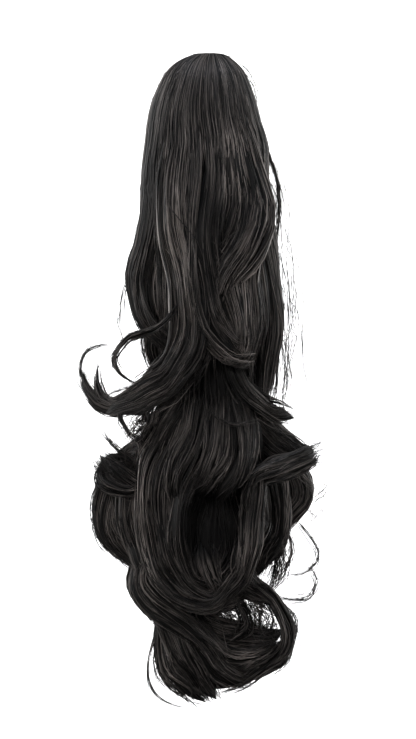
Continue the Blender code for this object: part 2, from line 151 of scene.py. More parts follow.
# A ring's drop is a share of HAIR_LENGTH, its side and half width of half the HAIR_WIDTH, and its
# front and back of half the HAIR_DEPTH.
Ring = namedtuple("Ring", "drop side half_width front back")
SHORT_RINGS = (
    Ring(0.000, 0.00, 0.03, 0.04, 0.04),
    Ring(0.0012, -0.01, 0.09, 0.11, 0.10),
    Ring(0.004, -0.01, 0.135, 0.18, 0.155),
    Ring(0.008, -0.02, 0.18, 0.255, 0.205),
    Ring(0.014, -0.03, 0.231, 0.345, 0.255),
    Ring(0.021, -0.035, 0.275, 0.43, 0.31),
    Ring(0.033, -0.04, 0.327, 0.54, 0.375),
    Ring(0.053, -0.045, 0.378, 0.645, 0.445),
    Ring(0.074, -0.05, 0.421, 0.715, 0.49),
    Ring(0.104, -0.05, 0.460, 0.78, 0.52),
    Ring(0.142, -0.03, 0.505, 0.84, 0.54),
    Ring(0.172, -0.0375, 0.5175, 0.88, 0.55),
    Ring(0.205, -0.0425, 0.5225, 0.90, 0.56),
    Ring(0.258, -0.03, 0.535, 0.94, 0.60),
    Ring(0.335, -0.01, 0.53, 0.95, 0.64),
    Ring(0.413, 0.02, 0.51, 0.93, 0.66),
    Ring(0.451, 0.02, 0.46, 0.84, 0.60),
    Ring(0.475, 0.02, 0.37, 0.62, 0.46),
)


def smooth_column(x, xs, ys):
    """The value at x of a smooth curve through a table's column, level past its ends."""
    xs, ys = np.asarray(xs), np.asarray(ys)
    slope = np.gradient(ys, xs)
    i = np.clip(np.searchsorted(xs, x) - 1, 0, len(xs) - 2)
    span = xs[i + 1] - xs[i]
    t = np.clip((x - xs[i]) / span, 0, 1)
    return (
        (2 * t**3 - 3 * t**2 + 1) * ys[i]
        + (t**3 - 2 * t**2 + t) * span * slope[i]
        + (3 * t**2 - 2 * t**3) * ys[i + 1]
        + (t**3 - t**2) * span * slope[i + 1]
    )


def hair_surface(rings, drop, angle, lift):
    """Points on a weft's surface at these drops and compass angles, raised by lift metres."""
    table = np.array(rings)
    side, half_width, front, back = (smooth_column(drop, table[:, 0], c) for c in table.T[1:])
    power = 2 / RING_SQUARENESS
    across = np.sign(np.sin(angle)) * np.abs(np.sin(angle)) ** power
    ahead = np.sign(np.cos(angle)) * np.abs(np.cos(angle)) ** power
    reach = np.where(ahead > 0, front, back) * HAIR_DEPTH / 2 + lift
    x = side * HAIR_WIDTH / 2 + (half_width * HAIR_WIDTH / 2 + lift) * across
    return np.stack((x, -reach * ahead, CROWN_TOP - drop * HAIR_LENGTH), axis=-1)


def model_backing(name, rings, levels):
    """A mass of hair: a ring of corners, extruded level by level and shaped to the weft."""
    bpy.ops.mesh.primitive_circle_add(vertices=BACKING_SIDES, fill_type="NGON")
    backing = bpy.context.active_object
    backing.name = backing.data.name = name
    bpy.ops.object.mode_set(mode="EDIT")
    for _ in range(levels - 1):
        bpy.ops.mesh.extrude_region_move(TRANSFORM_OT_translate={"value": (0, 0, -1)})
    bpy.ops.object.mode_set(mode="OBJECT")
    corners = sorted(
        backing.data.vertices, key=lambda v: (-round(v.co.z), round(math.atan2(v.co.x, -v.co.y), 4))
    )
    turn = np.linspace(-math.pi, math.pi, BACKING_SIDES + 1)[1:]
    for level, drop in enumerate(np.linspace(rings[0].drop, rings[-1].drop, levels)):
        ring = hair_surface(rings, np.full(BACKING_SIDES, drop), turn, -UNDER_STRANDS)
        for corner, place in zip(corners[level * BACKING_SIDES:], ring):
            corner.co = place
    bpy.ops.object.mode_set(mode="EDIT")
    bpy.ops.mesh.select_all(action="SELECT")
    bpy.ops.mesh.normals_make_consistent(inside=False)
    bpy.ops.object.mode_set(mode="OBJECT")
    bpy.ops.object.shade_smooth()
    backing.select_set(False)
    return backing


def fibre_streaks():
    """A node group: streaks of dark and lighter fibres across a vector whose Z runs along them, the
    lighter ones scaled by the painted light and shade.
    """
    group = bpy.data.node_groups.new("fibre_streaks", "ShaderNodeTree")
    for way, kind, labels in (
        ("INPUT", "NodeSocketVector", ("Vector",)),
        ("INPUT", "NodeSocketColor", ("Dark", "Light")),
        ("INPUT", "NodeSocketFloat", ("Rough", "Sleek", "PaintedLightAndShade")),
        ("OUTPUT", "NodeSocketColor", ("Color",)),
        ("OUTPUT", "NodeSocketFloat", ("Roughness", "Height")),
    ):
        for label in labels:
            group.interface.new_socket(label, in_out=way, socket_type=kind)
    given, made = add_node(group, "NodeGroupInput"), add_node(group, "NodeGroupOutput")
    fine = add_node(group, "ShaderNodeTexNoise", {"Scale": 1.0, "Detail": 3})
    broad = add_node(group, "ShaderNodeTexNoise", {"Scale": 0.16, "Detail": 2})
    both, pale = add_node(group, "ShaderNodeMath"), add_node(group, "ShaderNodeMath")
    both.operation = pale.operation = "MULTIPLY"
    contrast = add_node(group, "ShaderNodeMapRange", {"From Min": 0.225, "From Max": 0.39})
    tone, sheen = add_node(group, "ShaderNodeMix"), add_node(group, "ShaderNodeMix")
    tone.data_type = "RGBA"
    sheen.data_type = "FLOAT"
    wire(
        group,
        (given, "Vector", fine, "Vector"),
        (given, "Vector", broad, "Vector"),
        (fine, "Fac", both, 0),
        (broad, "Fac", both, 1),
        (both, "Value", contrast, "Value"),
        (contrast, "Result", pale, 0),
        (given, "PaintedLightAndShade", pale, 1),
        (pale, "Value", tone, "Factor"),
        (given, "Dark", tone, "A"),
        (given, "Light", tone, "B"),
        (pale, "Value", sheen, "Factor"),
        (given, "Rough", sheen, "A"),
        (given, "Sleek", sheen, "B"),
        (tone, "Result", made, "Color"),
        (sheen, "Result", made, "Roughness"),
        (fine, "Fac", made, "Height"),
    )
    return group


def dress_in_fibre(name, dark, light, *, rough, sleek, stretch, source, bump, shine):
    """A hair material. Stretch scales the pattern across and along, on Object places or the UV map."""
    material = bpy.data.materials.new(name)
    material.use_nodes = True
    tree = material.node_tree
    shader = tree.nodes["Principled BSDF"]
    shader.inputs["IOR"].default_value = 1.55
    shader.inputs["Specular IOR Level"].default_value = shine
    where = add_node(tree, "ShaderNodeTexCoord")
    scaled = add_node(tree, "ShaderNodeMapping", {"Scale": stretch})
    relief = add_node(tree, "ShaderNodeBump", {"Distance": bump})
    streaks = add_node(tree, "ShaderNodeGroup")
    streaks.node_tree = streaks_group
    for entry, value in (
        ("Dark", (*dark, 1)), ("Light", (*light, 1)), ("Rough", rough), ("Sleek", sleek), ("PaintedLightAndShade", 1),
    ):
        streaks.inputs[entry].default_value = value
    # The UV materials take the painted light and shade from the piece's point attribute.
    if source == "UV":
        pale = add_node(tree, "ShaderNodeAttribute")
        pale.attribute_name = "PaintedLightAndShade"
        wire(tree, (pale, "Fac", streaks, "PaintedLightAndShade"))
    wire(
        tree,
        (where, source, scaled, "Vector"),
        (scaled, "Vector", streaks, "Vector"),
        (streaks, "Height", relief, "Height"),
        (relief, "Normal", shader, "Normal"),
        (streaks, "Color", shader, "Base Color"),
        (streaks, "Roughness", shader, "Roughness"),
    )
    return material


streaks_group = fibre_streaks()
# Painted shade: the backing hair has the hairpiece's own off-black, painted darker still with scarcely
# any lighter fibres, so that the hollows between the locks read black.
deep_hair_painted_shade = dress_in_fibre(
    "deep_hair_painted_shade", (0.0008, 0.0007, 0.0007), (0.0040, 0.0034, 0.0032), rough=0.75, sleek=0.50,
    stretch=(1300, 1300, 22), source="Object", bump=0.0004, shine=0.20,
)


def finish_hair(piece, material, *nodes):
    """Gives a piece of hair its material and its place in the hairpiece."""
    piece.data.materials.clear()
    piece.data.materials.append(material)
    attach(piece, "root")
    if nodes:
        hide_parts(*nodes)


short_backing = model_backing("short_backing", SHORT_RINGS, levels=48)
bpy.ops.mesh.primitive_cylinder_add(
    vertices=CLIP_ROOM_SIDES, radius=0.5, depth=1, scale=(CLIP_ROOM[0], 2 * CLIP_ROOM_FRONT, CLIP_ROOM[1])
)
jaw_room = bpy.context.active_object
jaw_room.select_set(False)
bpy.ops.mesh.primitive_cube_add(
    size=1, scale=(CLIP_ROOM[0], HAIR_DEPTH, CLIP_ROOM[1]), location=(0, HAIR_DEPTH / 2, 0)
)
mouth_room = bpy.context.active_object
mouth_room.select_set(False)
bpy.context.view_layer.objects.active = short_backing
for room in (jaw_room, mouth_room):
    cut = short_backing.modifiers.new("Room for the clip", "BOOLEAN")
    cut.operation = "DIFFERENCE"
    cut.object = room
    bpy.ops.object.modifier_apply(modifier=cut.name)
    bpy.data.objects.remove(room)
short_backing.select_set(True)
bpy.ops.object.shade_smooth_by_angle(angle=CLIP_ROOM_CORNER)
short_backing.select_set(False)
finish_hair(short_backing, deep_hair_painted_shade, "short_weft")

# Locks of the short weft. They are permed strands of heat-resistant fibre that come over the clip
# from the crown's top, hang loose below it and end in flicks and one thin loop. Each lock is combed
# into flat tufts with loose strands on them, round a core of close fibres.
STRAND_WIDTH = 0.00080
STRAND_SIDES = 3
TUFT_SIDES = 8
TUFTS_PER_METRE = 420  # of a lock's width and thickness together
TUFT_WIDTHS = (0.0030, 0.0066)
TUFT_FLATNESS = 0.40
TUFT_SWAY = 0.0016
TUFT_PARTING = 0.0030
CORE_SIDES = 20
CORE_SHARE = 0.62  # a core's size beside its lock's
CORE_SINK = 0.004  # how far its root lies under the lock's
# Painted shade: a core's fibres are darkened to this share, as they lie in the shade inside the lock.
CORE_PAINTED_SHADE = 0.25
CROWN_JOIN = 0.19  # below its root, a lock has left the crown's surface within this share
CROWN_STEPS = 16
CROWN_ROUND = 0.04  # the drop in which the crown turns from facing up to facing outwards
POINTS_PER_BEND = 16
STRAIGHT_EFFORT, TURN_EFFORT = 0.6, 0.02  # what a metre and a radian of a route count for
LOCK_PACE, CORE_PACE = 0.0095, 0.006  # the count between two stations of a tuft or strand, or a core
FEWEST_STATIONS = 12
STATIONS_PER_STEP = 3  # a route's own, for each of a tuft's or a strand's
NARROW_LOCK = 0.022  # a lock under this width has thinner tufts, closer together
TUFT_REACH = (0.55, 0.95)  # how far from a lock's middle its tufts lie, as a share
LOCK_TWIST, TUFT_TWIST = 0.25, 0.35  # how far they turn round it, in radians
TUFT_WAVES, STRAND_WAVES = (0.8, 1.7), (1, 3)
STRAND_SWAY = 0.0009
STRAND_LOOSENESS = 0.0006
LATEST_ROOT, SHORTEST_END = 0.12, 0.3  # how far in hairs may start and end, in shares of a lock
TUFT_ENDS, STRAND_ENDS = 0.09, 0.06  # the spread of their ends
FINENESS = (0.65, 1.25)  # the widths of single hairs, as shares of the usual one

# Facing is the compass angle of a lock's flat side, 0 to the camera. Tip is its size at its end, as
# a share. Crown says that it comes over the crown. A bend is a drop, a side and a front, as a ring's.
Lock = namedtuple("Lock", "name facing width thickness tip strands crown bends")
SHORT_LOCKS = (
    Lock("left_sweep", -55, 0.040, 0.016, 0.40, 130, True, (
        (0.097, -0.26, 0.40), (0.196, -0.43, 0.46), (0.281, -0.51, 0.38), (0.351, -0.59, 0.30),
        (0.403, -0.53, 0.34), (0.442, -0.38, 0.44), (0.465, -0.20, 0.52))),
    Lock("left_fan", -10, 0.042, 0.015, 0.80, 170, True, (
        (0.073, -0.15, 0.55), (0.181, -0.27, 0.78), (0.274, -0.27, 0.88), (0.366, -0.17, 0.93),
        (0.444, -0.16, 0.95), (0.498, -0.31, 0.95), (0.533, -0.57, 0.84), (0.557, -0.85, 0.67))),
    Lock("loop_lock", -20, 0.005, 0.004, 0.60, 24, False, (
        (0.372, -0.21, 0.92), (0.416, -0.37, 0.98), (0.431, -0.53, 0.92), (0.445, -0.70, 0.80),
        (0.470, -0.78, 0.72), (0.493, -0.73, 0.76), (0.512, -0.57, 0.82))),
    Lock("left_flick", -30, 0.018, 0.010, 0.16, 80, False, (
        (0.440, -0.22, 0.36), (0.500, -0.42, 0.46), (0.541, -0.68, 0.48), (0.541, -0.90, 0.36),
        (0.518, -1.01, 0.22), (0.488, -1.06, 0.12))),
    Lock("flick_inner_tip", -30, 0.008, 0.006, 0.10, 40, False, (
        (0.520, -0.50, 0.50), (0.541, -0.72, 0.50), (0.534, -0.86, 0.42), (0.510, -0.925, 0.30),
        (0.478, -0.935, 0.24))),
    Lock("centre_left", 0, 0.040, 0.015, 0.45, 150, True, (
        (0.066, -0.03, 0.58), (0.181, 0.00, 0.86), (0.274, -0.06, 0.94), (0.366, -0.04, 0.98),
        (0.426, 0.06, 1.02), (0.455, 0.20, 1.00), (0.458, 0.38, 0.86))),
    Lock("centre_right", 10, 0.036, 0.014, 0.45, 140, True, (
        (0.073, 0.19, 0.53), (0.165, 0.35, 0.76), (0.235, 0.41, 0.84), (0.300, 0.32, 0.96),
        (0.352, 0.15, 1.02), (0.405, 0.03, 0.92), (0.450, 0.05, 0.80))),
    Lock("right_middle", 5, 0.030, 0.012, 0.45, 100, True, (
        (0.070, 0.09, 0.56), (0.150, 0.19, 0.80), (0.215, 0.23, 0.88), (0.270, 0.20, 0.92),
        (0.330, 0.10, 0.90))),
    Lock("right_sweep", 45, 0.040, 0.016, 0.45, 130, True, (
        (0.097, 0.24, 0.40), (0.196, 0.33, 0.50), (0.275, 0.40, 0.50), (0.366, 0.46, 0.50),
        (0.428, 0.49, 0.46), (0.484, 0.45, 0.44), (0.530, 0.43, 0.44), (0.560, 0.40, 0.42))),
    Lock("right_flick", 5, 0.024, 0.012, 0.55, 110, False, (
        (0.470, 0.16, 0.60), (0.510, 0.25, 0.68), (0.538, 0.38, 0.68), (0.554, 0.54, 0.58),
        (0.565, 0.70, 0.46))),
    Lock("right_inner", 20, 0.036, 0.013, 0.45, 120, False, (
        (0.268, 0.34, 0.80), (0.310, 0.29, 0.88), (0.352, 0.26, 0.92), (0.410, 0.31, 0.94),
        (0.456, 0.30, 0.92), (0.484, 0.16, 0.80))),
    Lock("nape_left", -150, 0.044, 0.014, 0.40, 80, False, (
        (0.227, -0.22, -0.44), (0.304, -0.35, -0.54), (0.382, -0.28, -0.60), (0.459, -0.42, -0.58),
        (0.524, -0.30, -0.48))),
    Lock("nape_right", 150, 0.044, 0.014, 0.40, 80, False, (
        (0.227, 0.22, -0.44), (0.304, 0.35, -0.54), (0.382, 0.28, -0.60), (0.451, 0.40, -0.58),
        (0.518, 0.30, -0.48))),
)

Route = namedtuple("Route", "share centre sideways outward half_width half_thickness")
# A bundle's tone is painted shade: a factor that darkens its fibres where they come out from under other
# hair, and in the lock cores.
Bundle = namedtuple("Bundle", "paths toward half_width half_thickness tone", defaults=(1.0,))


def unit(vectors):
    """The same vectors at length 1."""
    return vectors / np.maximum(np.linalg.norm(vectors, axis=-1, keepdims=True), 1e-12)


def ease(x):
    """A smooth step from 0 to 1."""
    x = np.clip(x, 0, 1)
    return x * x * (3 - 2 * x)


def smooth_path(bends):
    """Close points on a smooth curve through bends given as drop, side and front."""
    drop, side, front = np.array(bends).T
    bends = np.column_stack((
        side * HAIR_WIDTH / 2, -front * HAIR_DEPTH / 2, CROWN_TOP - drop * HAIR_LENGTH,
    ))
    padded = np.vstack((2 * bends[0] - bends[1], bends, 2 * bends[-1] - bends[-2]))
    t = np.linspace(0, 1, POINTS_PER_BEND, endpoint=False)[:, None]
    return np.vstack([
        0.5 * (2 * b + (c - a) * t + (2 * a - 5 * b + 4 * c - d) * t**2 + (3 * b - a - 3 * c + d) * t**3)
        for a, b, c, d in zip(padded, padded[1:], padded[2:], padded[3:])
    ] + [bends[-1:]])


def lock_route(lock, pace):
    """A lock's centre-line and frame, with stations closer together where it bends more."""
    fine = smooth_path(lock.bends)
    legs = np.diff(fine, axis=0)
    heading = unit(legs)
    effort = STRAIGHT_EFFORT * np.linalg.norm(legs, axis=1)
    effort[1:] += TURN_EFFORT * np.arccos(np.clip((heading[1:] * heading[:-1]).sum(1), -1, 1))
    travelled = np.concatenate(([0], np.cumsum(effort)))
    stations = max(FEWEST_STATIONS, round(travelled[-1] / pace))
    stops = np.linspace(0, travelled[-1], stations)
    centre = np.column_stack([np.interp(stops, travelled, column) for column in fine.T])
    share = np.interp(stops, travelled, np.linspace(0, 1, len(fine)))
    ahead = unit(np.gradient(centre, axis=0))
    facing = math.radians(lock.facing)
    toward = np.array((math.sin(facing), -math.cos(facing), 0))
    outward = []
    for direction in ahead:
        toward = unit(toward - toward.dot(direction) * direction)
        outward.append(toward)
    outward = np.array(outward)
    gathered = np.minimum(1, 0.55 + 3 * share)  # at its root
    ending = np.clip((share - 0.45) / 0.55, 0, None)  # from the middle to its tip
    full = gathered * (1 - (1 - lock.tip) * ending**1.5)
    return Route(
        share, centre, np.cross(ahead, outward), outward,
        lock.width / 2 * full, lock.thickness / 2 * full,
    )


def along(route, where):
    """The route's values at these shares of its stations, one row for each strand."""
    index = np.arange(len(route.share))
    where = where * (len(route.share) - 1)

    def read(values):
        """One of the route's values at these places."""
        if values.ndim == 1:
            return np.interp(where, index, values)
        return np.stack([np.interp(where, index, column) for column in values.T], axis=-1)

    return Route(*(read(values) for values in route))


def looseness(share):
    """How freely hair sways at these shares of its lock: little at the root, and more downwards."""
    return 0.15 + share**1.5


def comb(lock, rng):
    """A lock combed into flat tufts that part towards its tip, and the loose strands on them."""
    route = lock_route(lock, LOCK_PACE / STATIONS_PER_STEP)
    steps = max(10, round(len(route.share) / STATIONS_PER_STEP))
    slimness = min(1, lock.width / NARROW_LOCK)
    tufts = max(3, round(TUFTS_PER_METRE * (lock.width + lock.thickness)))
    seat = (np.arange(tufts) + rng.uniform(-0.5, 0.5, tufts)) / tufts * 2 - 1
    bearing = (math.pi * np.sign(seat) * np.abs(seat) ** 1.25)[:, None]
    reach = rng.uniform(*TUFT_REACH, (tufts, 1))
    twist = rng.normal(0, LOCK_TWIST) + rng.normal(0, TUFT_TWIST, (tufts, 1))
    size = rng.uniform(*TUFT_WIDTHS, (tufts, 1)) / 2 * slimness
    parting = TUFT_PARTING * rng.normal(0, 1, (tufts, 2, 1)) * slimness
    phase = rng.uniform(0, 2 * math.pi, (tufts, 2, 1))
    waves = rng.uniform(*TUFT_WAVES, (tufts, 1))

    def run(pick, at):
        """Where the picked tufts run, their outward ways and their half widths."""
        share = at.share
        turn = bearing[pick] + twist[pick] * share
        across, out = reach[pick] * np.sin(turn), reach[pick] * np.cos(turn)
        aside, ahead = (
            looseness(share) * TUFT_SWAY * np.sin(2 * math.pi * waves[pick] * share + phase[pick, axis])
            + parting[pick, axis] * share**3
            for axis in range(2)
        )
        centre = (
            at.centre
            + at.sideways * (across * at.half_width + aside)[..., None]
            + at.outward * (out * at.half_thickness + 0.6 * ahead)[..., None]
        )
        toward = unit(
            at.sideways * (across / at.half_width)[..., None]
            + at.outward * (out / at.half_thickness)[..., None]
        )
        full = np.minimum(1, 0.5 + 3 * share) * (1 - 0.75 * np.clip((share - 0.5) / 0.5, 0, 1) ** 1.5)
        return centre, toward, size[pick] * full

    def stretch(count, spread):
        """The lock's route, cut to each hair's own start and end."""
        start = rng.uniform(0, LATEST_ROOT, (count, 1)) * (0 if lock.crown else 1)
        end = 1 - np.clip(np.abs(rng.normal(0, spread, (count, 1))), 0, SHORTEST_END)
        return along(route, start + (end - start) * np.linspace(0, 1, steps))

    pick = np.arange(tufts)
    centre, toward, half = run(pick, stretch(tufts, TUFT_ENDS))
    own = np.linspace(0, 1, steps)
    half = half * (1 - 0.9 * own**5) * np.minimum(1, (1 if lock.crown else 0.12) + 5 * own)
    # Painted shade: a lock's fibres are darkened near the root, where it comes out from under the hair
    # above.
    tone = 1.0 if lock.crown else ease((own - 0.04) / 0.16)[None]  # dark under the hair above
    flat = Bundle(centre, toward, half, half * TUFT_FLATNESS, tone)

    pick = rng.integers(tufts, size=lock.strands)
    at = stretch(lock.strands, STRAND_ENDS)
    centre, toward, half = run(pick, at)
    beside = np.cross(unit(np.gradient(centre, axis=1)), toward)
    across = rng.uniform(-1.2, 1.2, (lock.strands, 1))
    lie = np.sqrt(1 - (across / 1.25) ** 2)
    loose = looseness(at.share)
    phase = rng.uniform(0, 2 * math.pi, (lock.strands, 2, 1))
    waves = rng.uniform(*STRAND_WAVES, (lock.strands, 1))
    aside, lift = (
        loose * STRAND_SWAY * np.sin(2 * math.pi * waves * at.share + phase[:, axis]) for axis in range(2)
    )
    lift = np.abs(lift) + rng.uniform(0, STRAND_LOOSENESS, (lock.strands, 1))
    paths = (
        centre
        + beside * (across * half + aside)[..., None]
        + toward * (lie * half * TUFT_FLATNESS + lift)[..., None]
    )
    return flat, Bundle(paths, toward, *taper(paths, rng), tone)


def taper(paths, rng, width=STRAND_WIDTH):
    """A strand's half width at each station: full behind its root, and fine at its tip."""
    share = np.linspace(0, 1, paths.shape[1])
    radius = width / 2 * rng.uniform(*FINENESS, (len(paths), 1)) * (
        np.minimum(1, 0.35 + 6 * share) * (1 - 0.85 * np.clip((share - 0.55) / 0.45, 0, 1) ** 1.6)
    )
    return radius, radius


def from_the_crown(lock, bundle, rng, lift):
    """Carries hair up over the crown to its top, and lets it leave the surface gradually."""
    root = lock.bends[0][0]
    drops = (CROWN_TOP - bundle.paths[:, :, 2]) / HAIR_LENGTH
    join = int(np.argmin(np.abs(drops.mean(0) - root - CROWN_JOIN)))
    table = np.array(SHORT_RINGS)
    carried = []
    for path, toward, half_width, half_thickness, drop in zip(*bundle[:4], drops):
        side, wide, front, back = (
            float(smooth_column(drop[join], table[:, 0], column)) for column in table.T[1:]
        )
        across = (path[join, 0] / (HAIR_WIDTH / 2) - side) / wide
        ahead = -path[join, 1] / (HAIR_DEPTH / 2)
        ahead /= front if ahead > 0 else back
        angle = math.atan2(
            math.copysign(abs(across) ** (RING_SQUARENESS / 2), across),
            math.copysign(abs(ahead) ** (RING_SQUARENESS / 2), ahead),
        )
        levels = drop[join] * np.linspace(0.06, 1, CROWN_STEPS) ** 2.2  # closer at the top
        own_lift = rng.uniform(*lift)
        crown = hair_surface(SHORT_RINGS, levels, np.full(CROWN_STEPS, angle), own_lift)
        order = np.argsort(drop)
        own, own_toward = (
            np.column_stack([np.interp(levels, drop[order], values[order, axis]) for axis in range(3)])
            for values in (path, toward)
        )
        leave = ease((levels - root - 0.01) / (drop[join] - root - 0.01))[:, None]
        upper = crown * (1 - leave) + own * leave
        upper[:, 2] = CROWN_TOP - levels * HAIR_LENGTH
        outside = np.array((math.sin(angle), -math.cos(angle), 0))
        above = outside + np.array((0, 0, 1)) * (1 - ease(levels / CROWN_ROUND))[:, None]
        narrow = np.interp(levels, table[:, 0], table[:, 2]) / wide
        carried.append((
            np.vstack((upper, path[join + 1:])),
            np.vstack((unit(above * (1 - leave) + own_toward * leave), toward[join + 1:])),
            np.concatenate((half_width[join] * np.clip(narrow, 0.15, 1), half_width[join + 1:])),
            np.concatenate((
                half_thickness[join] * np.clip(narrow, 0.3, 1) * (0.4 + 0.6 * leave[:, 0]),
                half_thickness[join + 1:],
            )),
        ))
    return Bundle(*(np.array(values) for values in zip(*carried)))


CROSSING_START, CROSSING_LENGTH = (0.14, 0.34), (0.08, 0.18)  # in drops
CROSSING_END = (0.85, 0.99)  # as a share of the shorter lock
CROSSING_LIFT = 0.006  # so that it lies over the locks between


def cross_over(first, second, count, rng, steps=20):
    """Hair that leaves one lock on its way down and lies with the next one from there."""
    made = []
    for one, other in zip(
        rng.integers(len(first.paths), size=count), rng.integers(len(second.paths), size=count)
    ):
        runs = []
        for bundle, pick in ((first, one), (second, other)):
            drop = np.maximum.accumulate((CROWN_TOP - bundle.paths[pick, :, 2]) / HAIR_LENGTH)
            runs.append((drop, bundle.paths[pick], bundle.toward[pick]))
        foot = min(runs[0][0][-1], runs[1][0][-1]) * rng.uniform(*CROSSING_END)
        levels = foot * np.linspace(0.1, 1, steps) ** 1.3  # closer at the top
        (path, toward), (next_path, next_toward) = (
            (
                np.column_stack([np.interp(levels, drop, places[:, axis]) for axis in range(3)]),
                np.column_stack([np.interp(levels, drop, ways[:, axis]) for axis in range(3)]),
            )
            for drop, places, ways in runs
        )
        over = ease((levels - rng.uniform(*CROSSING_START)) / rng.uniform(*CROSSING_LENGTH))[:, None]
        toward = unit(toward * (1 - over) + next_toward * over)
        made.append((
            path * (1 - over) + next_path * over + toward * CROSSING_LIFT * (over * (1 - over)), toward,
        ))
    paths, toward = (np.array(values) for values in zip(*made))
    return Bundle(paths, toward, *taper(paths, rng))


PARTING = (0.001, 0.002)  # the drops at which hair leaves the crown's top
SHEET_LIFT = (-0.0002, 0.0010)
SHEET_WAVES = 2.2
DRAWN_TOGETHER = 0.7  # how far strands have closed up into wisps at their tips


def sheet(rings, rng, *, count, start, end, angles, steps=24, clusters=40, sway=0.0025):
    """Strands that lie on a backing from one drop to another and draw together in wisps."""
    top, foot = rng.uniform(*start, (count, 1)), rng.uniform(*end, (count, 1))
    own = np.linspace(0, 1, steps)
    drop = top + (foot - top) * own ** (2 if start == PARTING else 1)  # stations closer at the parting
    bearing = np.radians(rng.uniform(*angles, (count, 1)))
    centres = np.radians(rng.uniform(*angles, clusters))
    nearest = centres[np.abs(bearing - centres).argmin(1)][:, None]
    bearing = bearing + (nearest - bearing) * DRAWN_TOGETHER * own**1.5
    paths = hair_surface(rings, drop, bearing, rng.uniform(*SHEET_LIFT, (count, 1)))
    phase = rng.uniform(0, 2 * math.pi, (count, 1)) * 0.15 + 5 * nearest
    drift = sway * own**1.4 * np.sin(2 * math.pi * SHEET_WAVES * own + phase)
    aside = np.stack((np.cos(bearing), np.sin(bearing), 0 * bearing), axis=-1)
    outside = np.stack((np.sin(bearing), -np.cos(bearing), 0 * bearing), axis=-1)
    paths = paths + aside * drift[..., None] + outside * (0.3 * np.abs(drift))[..., None]
    rise = np.array((0, 0, 1)) * (1 - ease(drop / CROWN_ROUND))[..., None]
    return Bundle(paths, unit(outside + rise), *taper(paths, rng))


FLOW_WAVES = 14
FLOW_SWING = (1, 0.7, 0.2)  # how much of it is sideways, in depth and in height
FLOW_PACE = (150, 150, 55)  # radians a metre
FLOW_SIZE = 0.0011
FLOW_START, FLOW_GROWTH = 0.10, 0.35  # in drops
flow_rng = np.random.default_rng(5)
FLOW = [
    (unit(flow_rng.normal(0, 1, 3) * FLOW_SWING), flow_rng.normal(0, 1, 3) * FLOW_PACE,
     flow_rng.uniform(0, 2 * math.pi), flow_rng.uniform(0.3, 1.0) * FLOW_SIZE)
    for _ in range(FLOW_WAVES)
]
RIDGE = 0.16  # how far the surface of a tuft or a core goes in and out, as a share
MAP_SIZE = 1000  # millimetres, over which hairs are scattered on the map of fibres


def with_the_flow(bundle):
    """Neighbouring hair moved together by slow waves, less and less up to the smooth crown."""
    paths = bundle.paths
    amount = ease(((CROWN_TOP - paths[..., 2:]) / HAIR_LENGTH - FLOW_START) / FLOW_GROWTH)
    moved = sum(size * np.sin(paths @ pace + phase)[..., None] * way for way, pace, phase, size in FLOW)
    return bundle._replace(paths=paths + amount * moved)


def swept(bundle, sides, rng):
    """The corners of a bundle's hairs: a ring of them at each station of each path."""
    ahead = unit(np.gradient(bundle.paths, axis=1))
    toward = unit(bundle.toward - (bundle.toward * ahead).sum(-1, keepdims=True) * ahead)
    beside = np.cross(ahead, toward)
    turns = np.arange(sides) * 2 * math.pi / sides
    ridge = RIDGE if sides > STRAND_SIDES else 0
    ridges = 1 + ridge * rng.uniform(-1, 1, (len(ahead), 1, sides))
    return (
        bundle.paths[:, :, None]
        + (bundle.half_width[..., None] * np.sin(turns) * ridges)[..., None] * beside[:, :, None]
        + (bundle.half_thickness[..., None] * np.cos(turns) * ridges)[..., None] * toward[:, :, None]
    )


def fibre_map(bundle, sides, rng):
    """Places on the fibre map, in millimetres, for the corners of the side faces and of the ends."""
    count, steps = bundle.paths.shape[:2]
    lengths = np.linalg.norm(np.diff(bundle.paths, axis=1), axis=-1) * 1000
    down = np.concatenate((np.zeros((count, 1)), np.cumsum(lengths, axis=1)), axis=1)
    down += rng.uniform(0, MAP_SIZE, (count, 1))
    own = rng.uniform(0, MAP_SIZE, (count, 1, 1))
    around = np.arange(sides)
    turn = 2200 * math.pi * bundle.half_width.mean()  # about the way round, in millimetres
    pitch = 0 if sides == STRAND_SIDES else turn / sides
    u = np.stack([own + pitch * (around + step) for step in (0, 1, 1, 0)], axis=-1)
    u = np.broadcast_to(u, (count, steps - 1, sides, 4))
    v = np.stack((down[:, :-1], down[:, :-1], down[:, 1:], down[:, 1:]), axis=-1)
    v = np.broadcast_to(v[:, :, None], u.shape)
    ends = np.concatenate([
        np.stack(np.broadcast_arrays(own[:, 0] + pitch * around, down[:, end, None]), axis=-1)
        for end in (0, -1)
    ])
    return np.stack((u, v), axis=-1).reshape(-1, 2), ends.reshape(-1, 2)


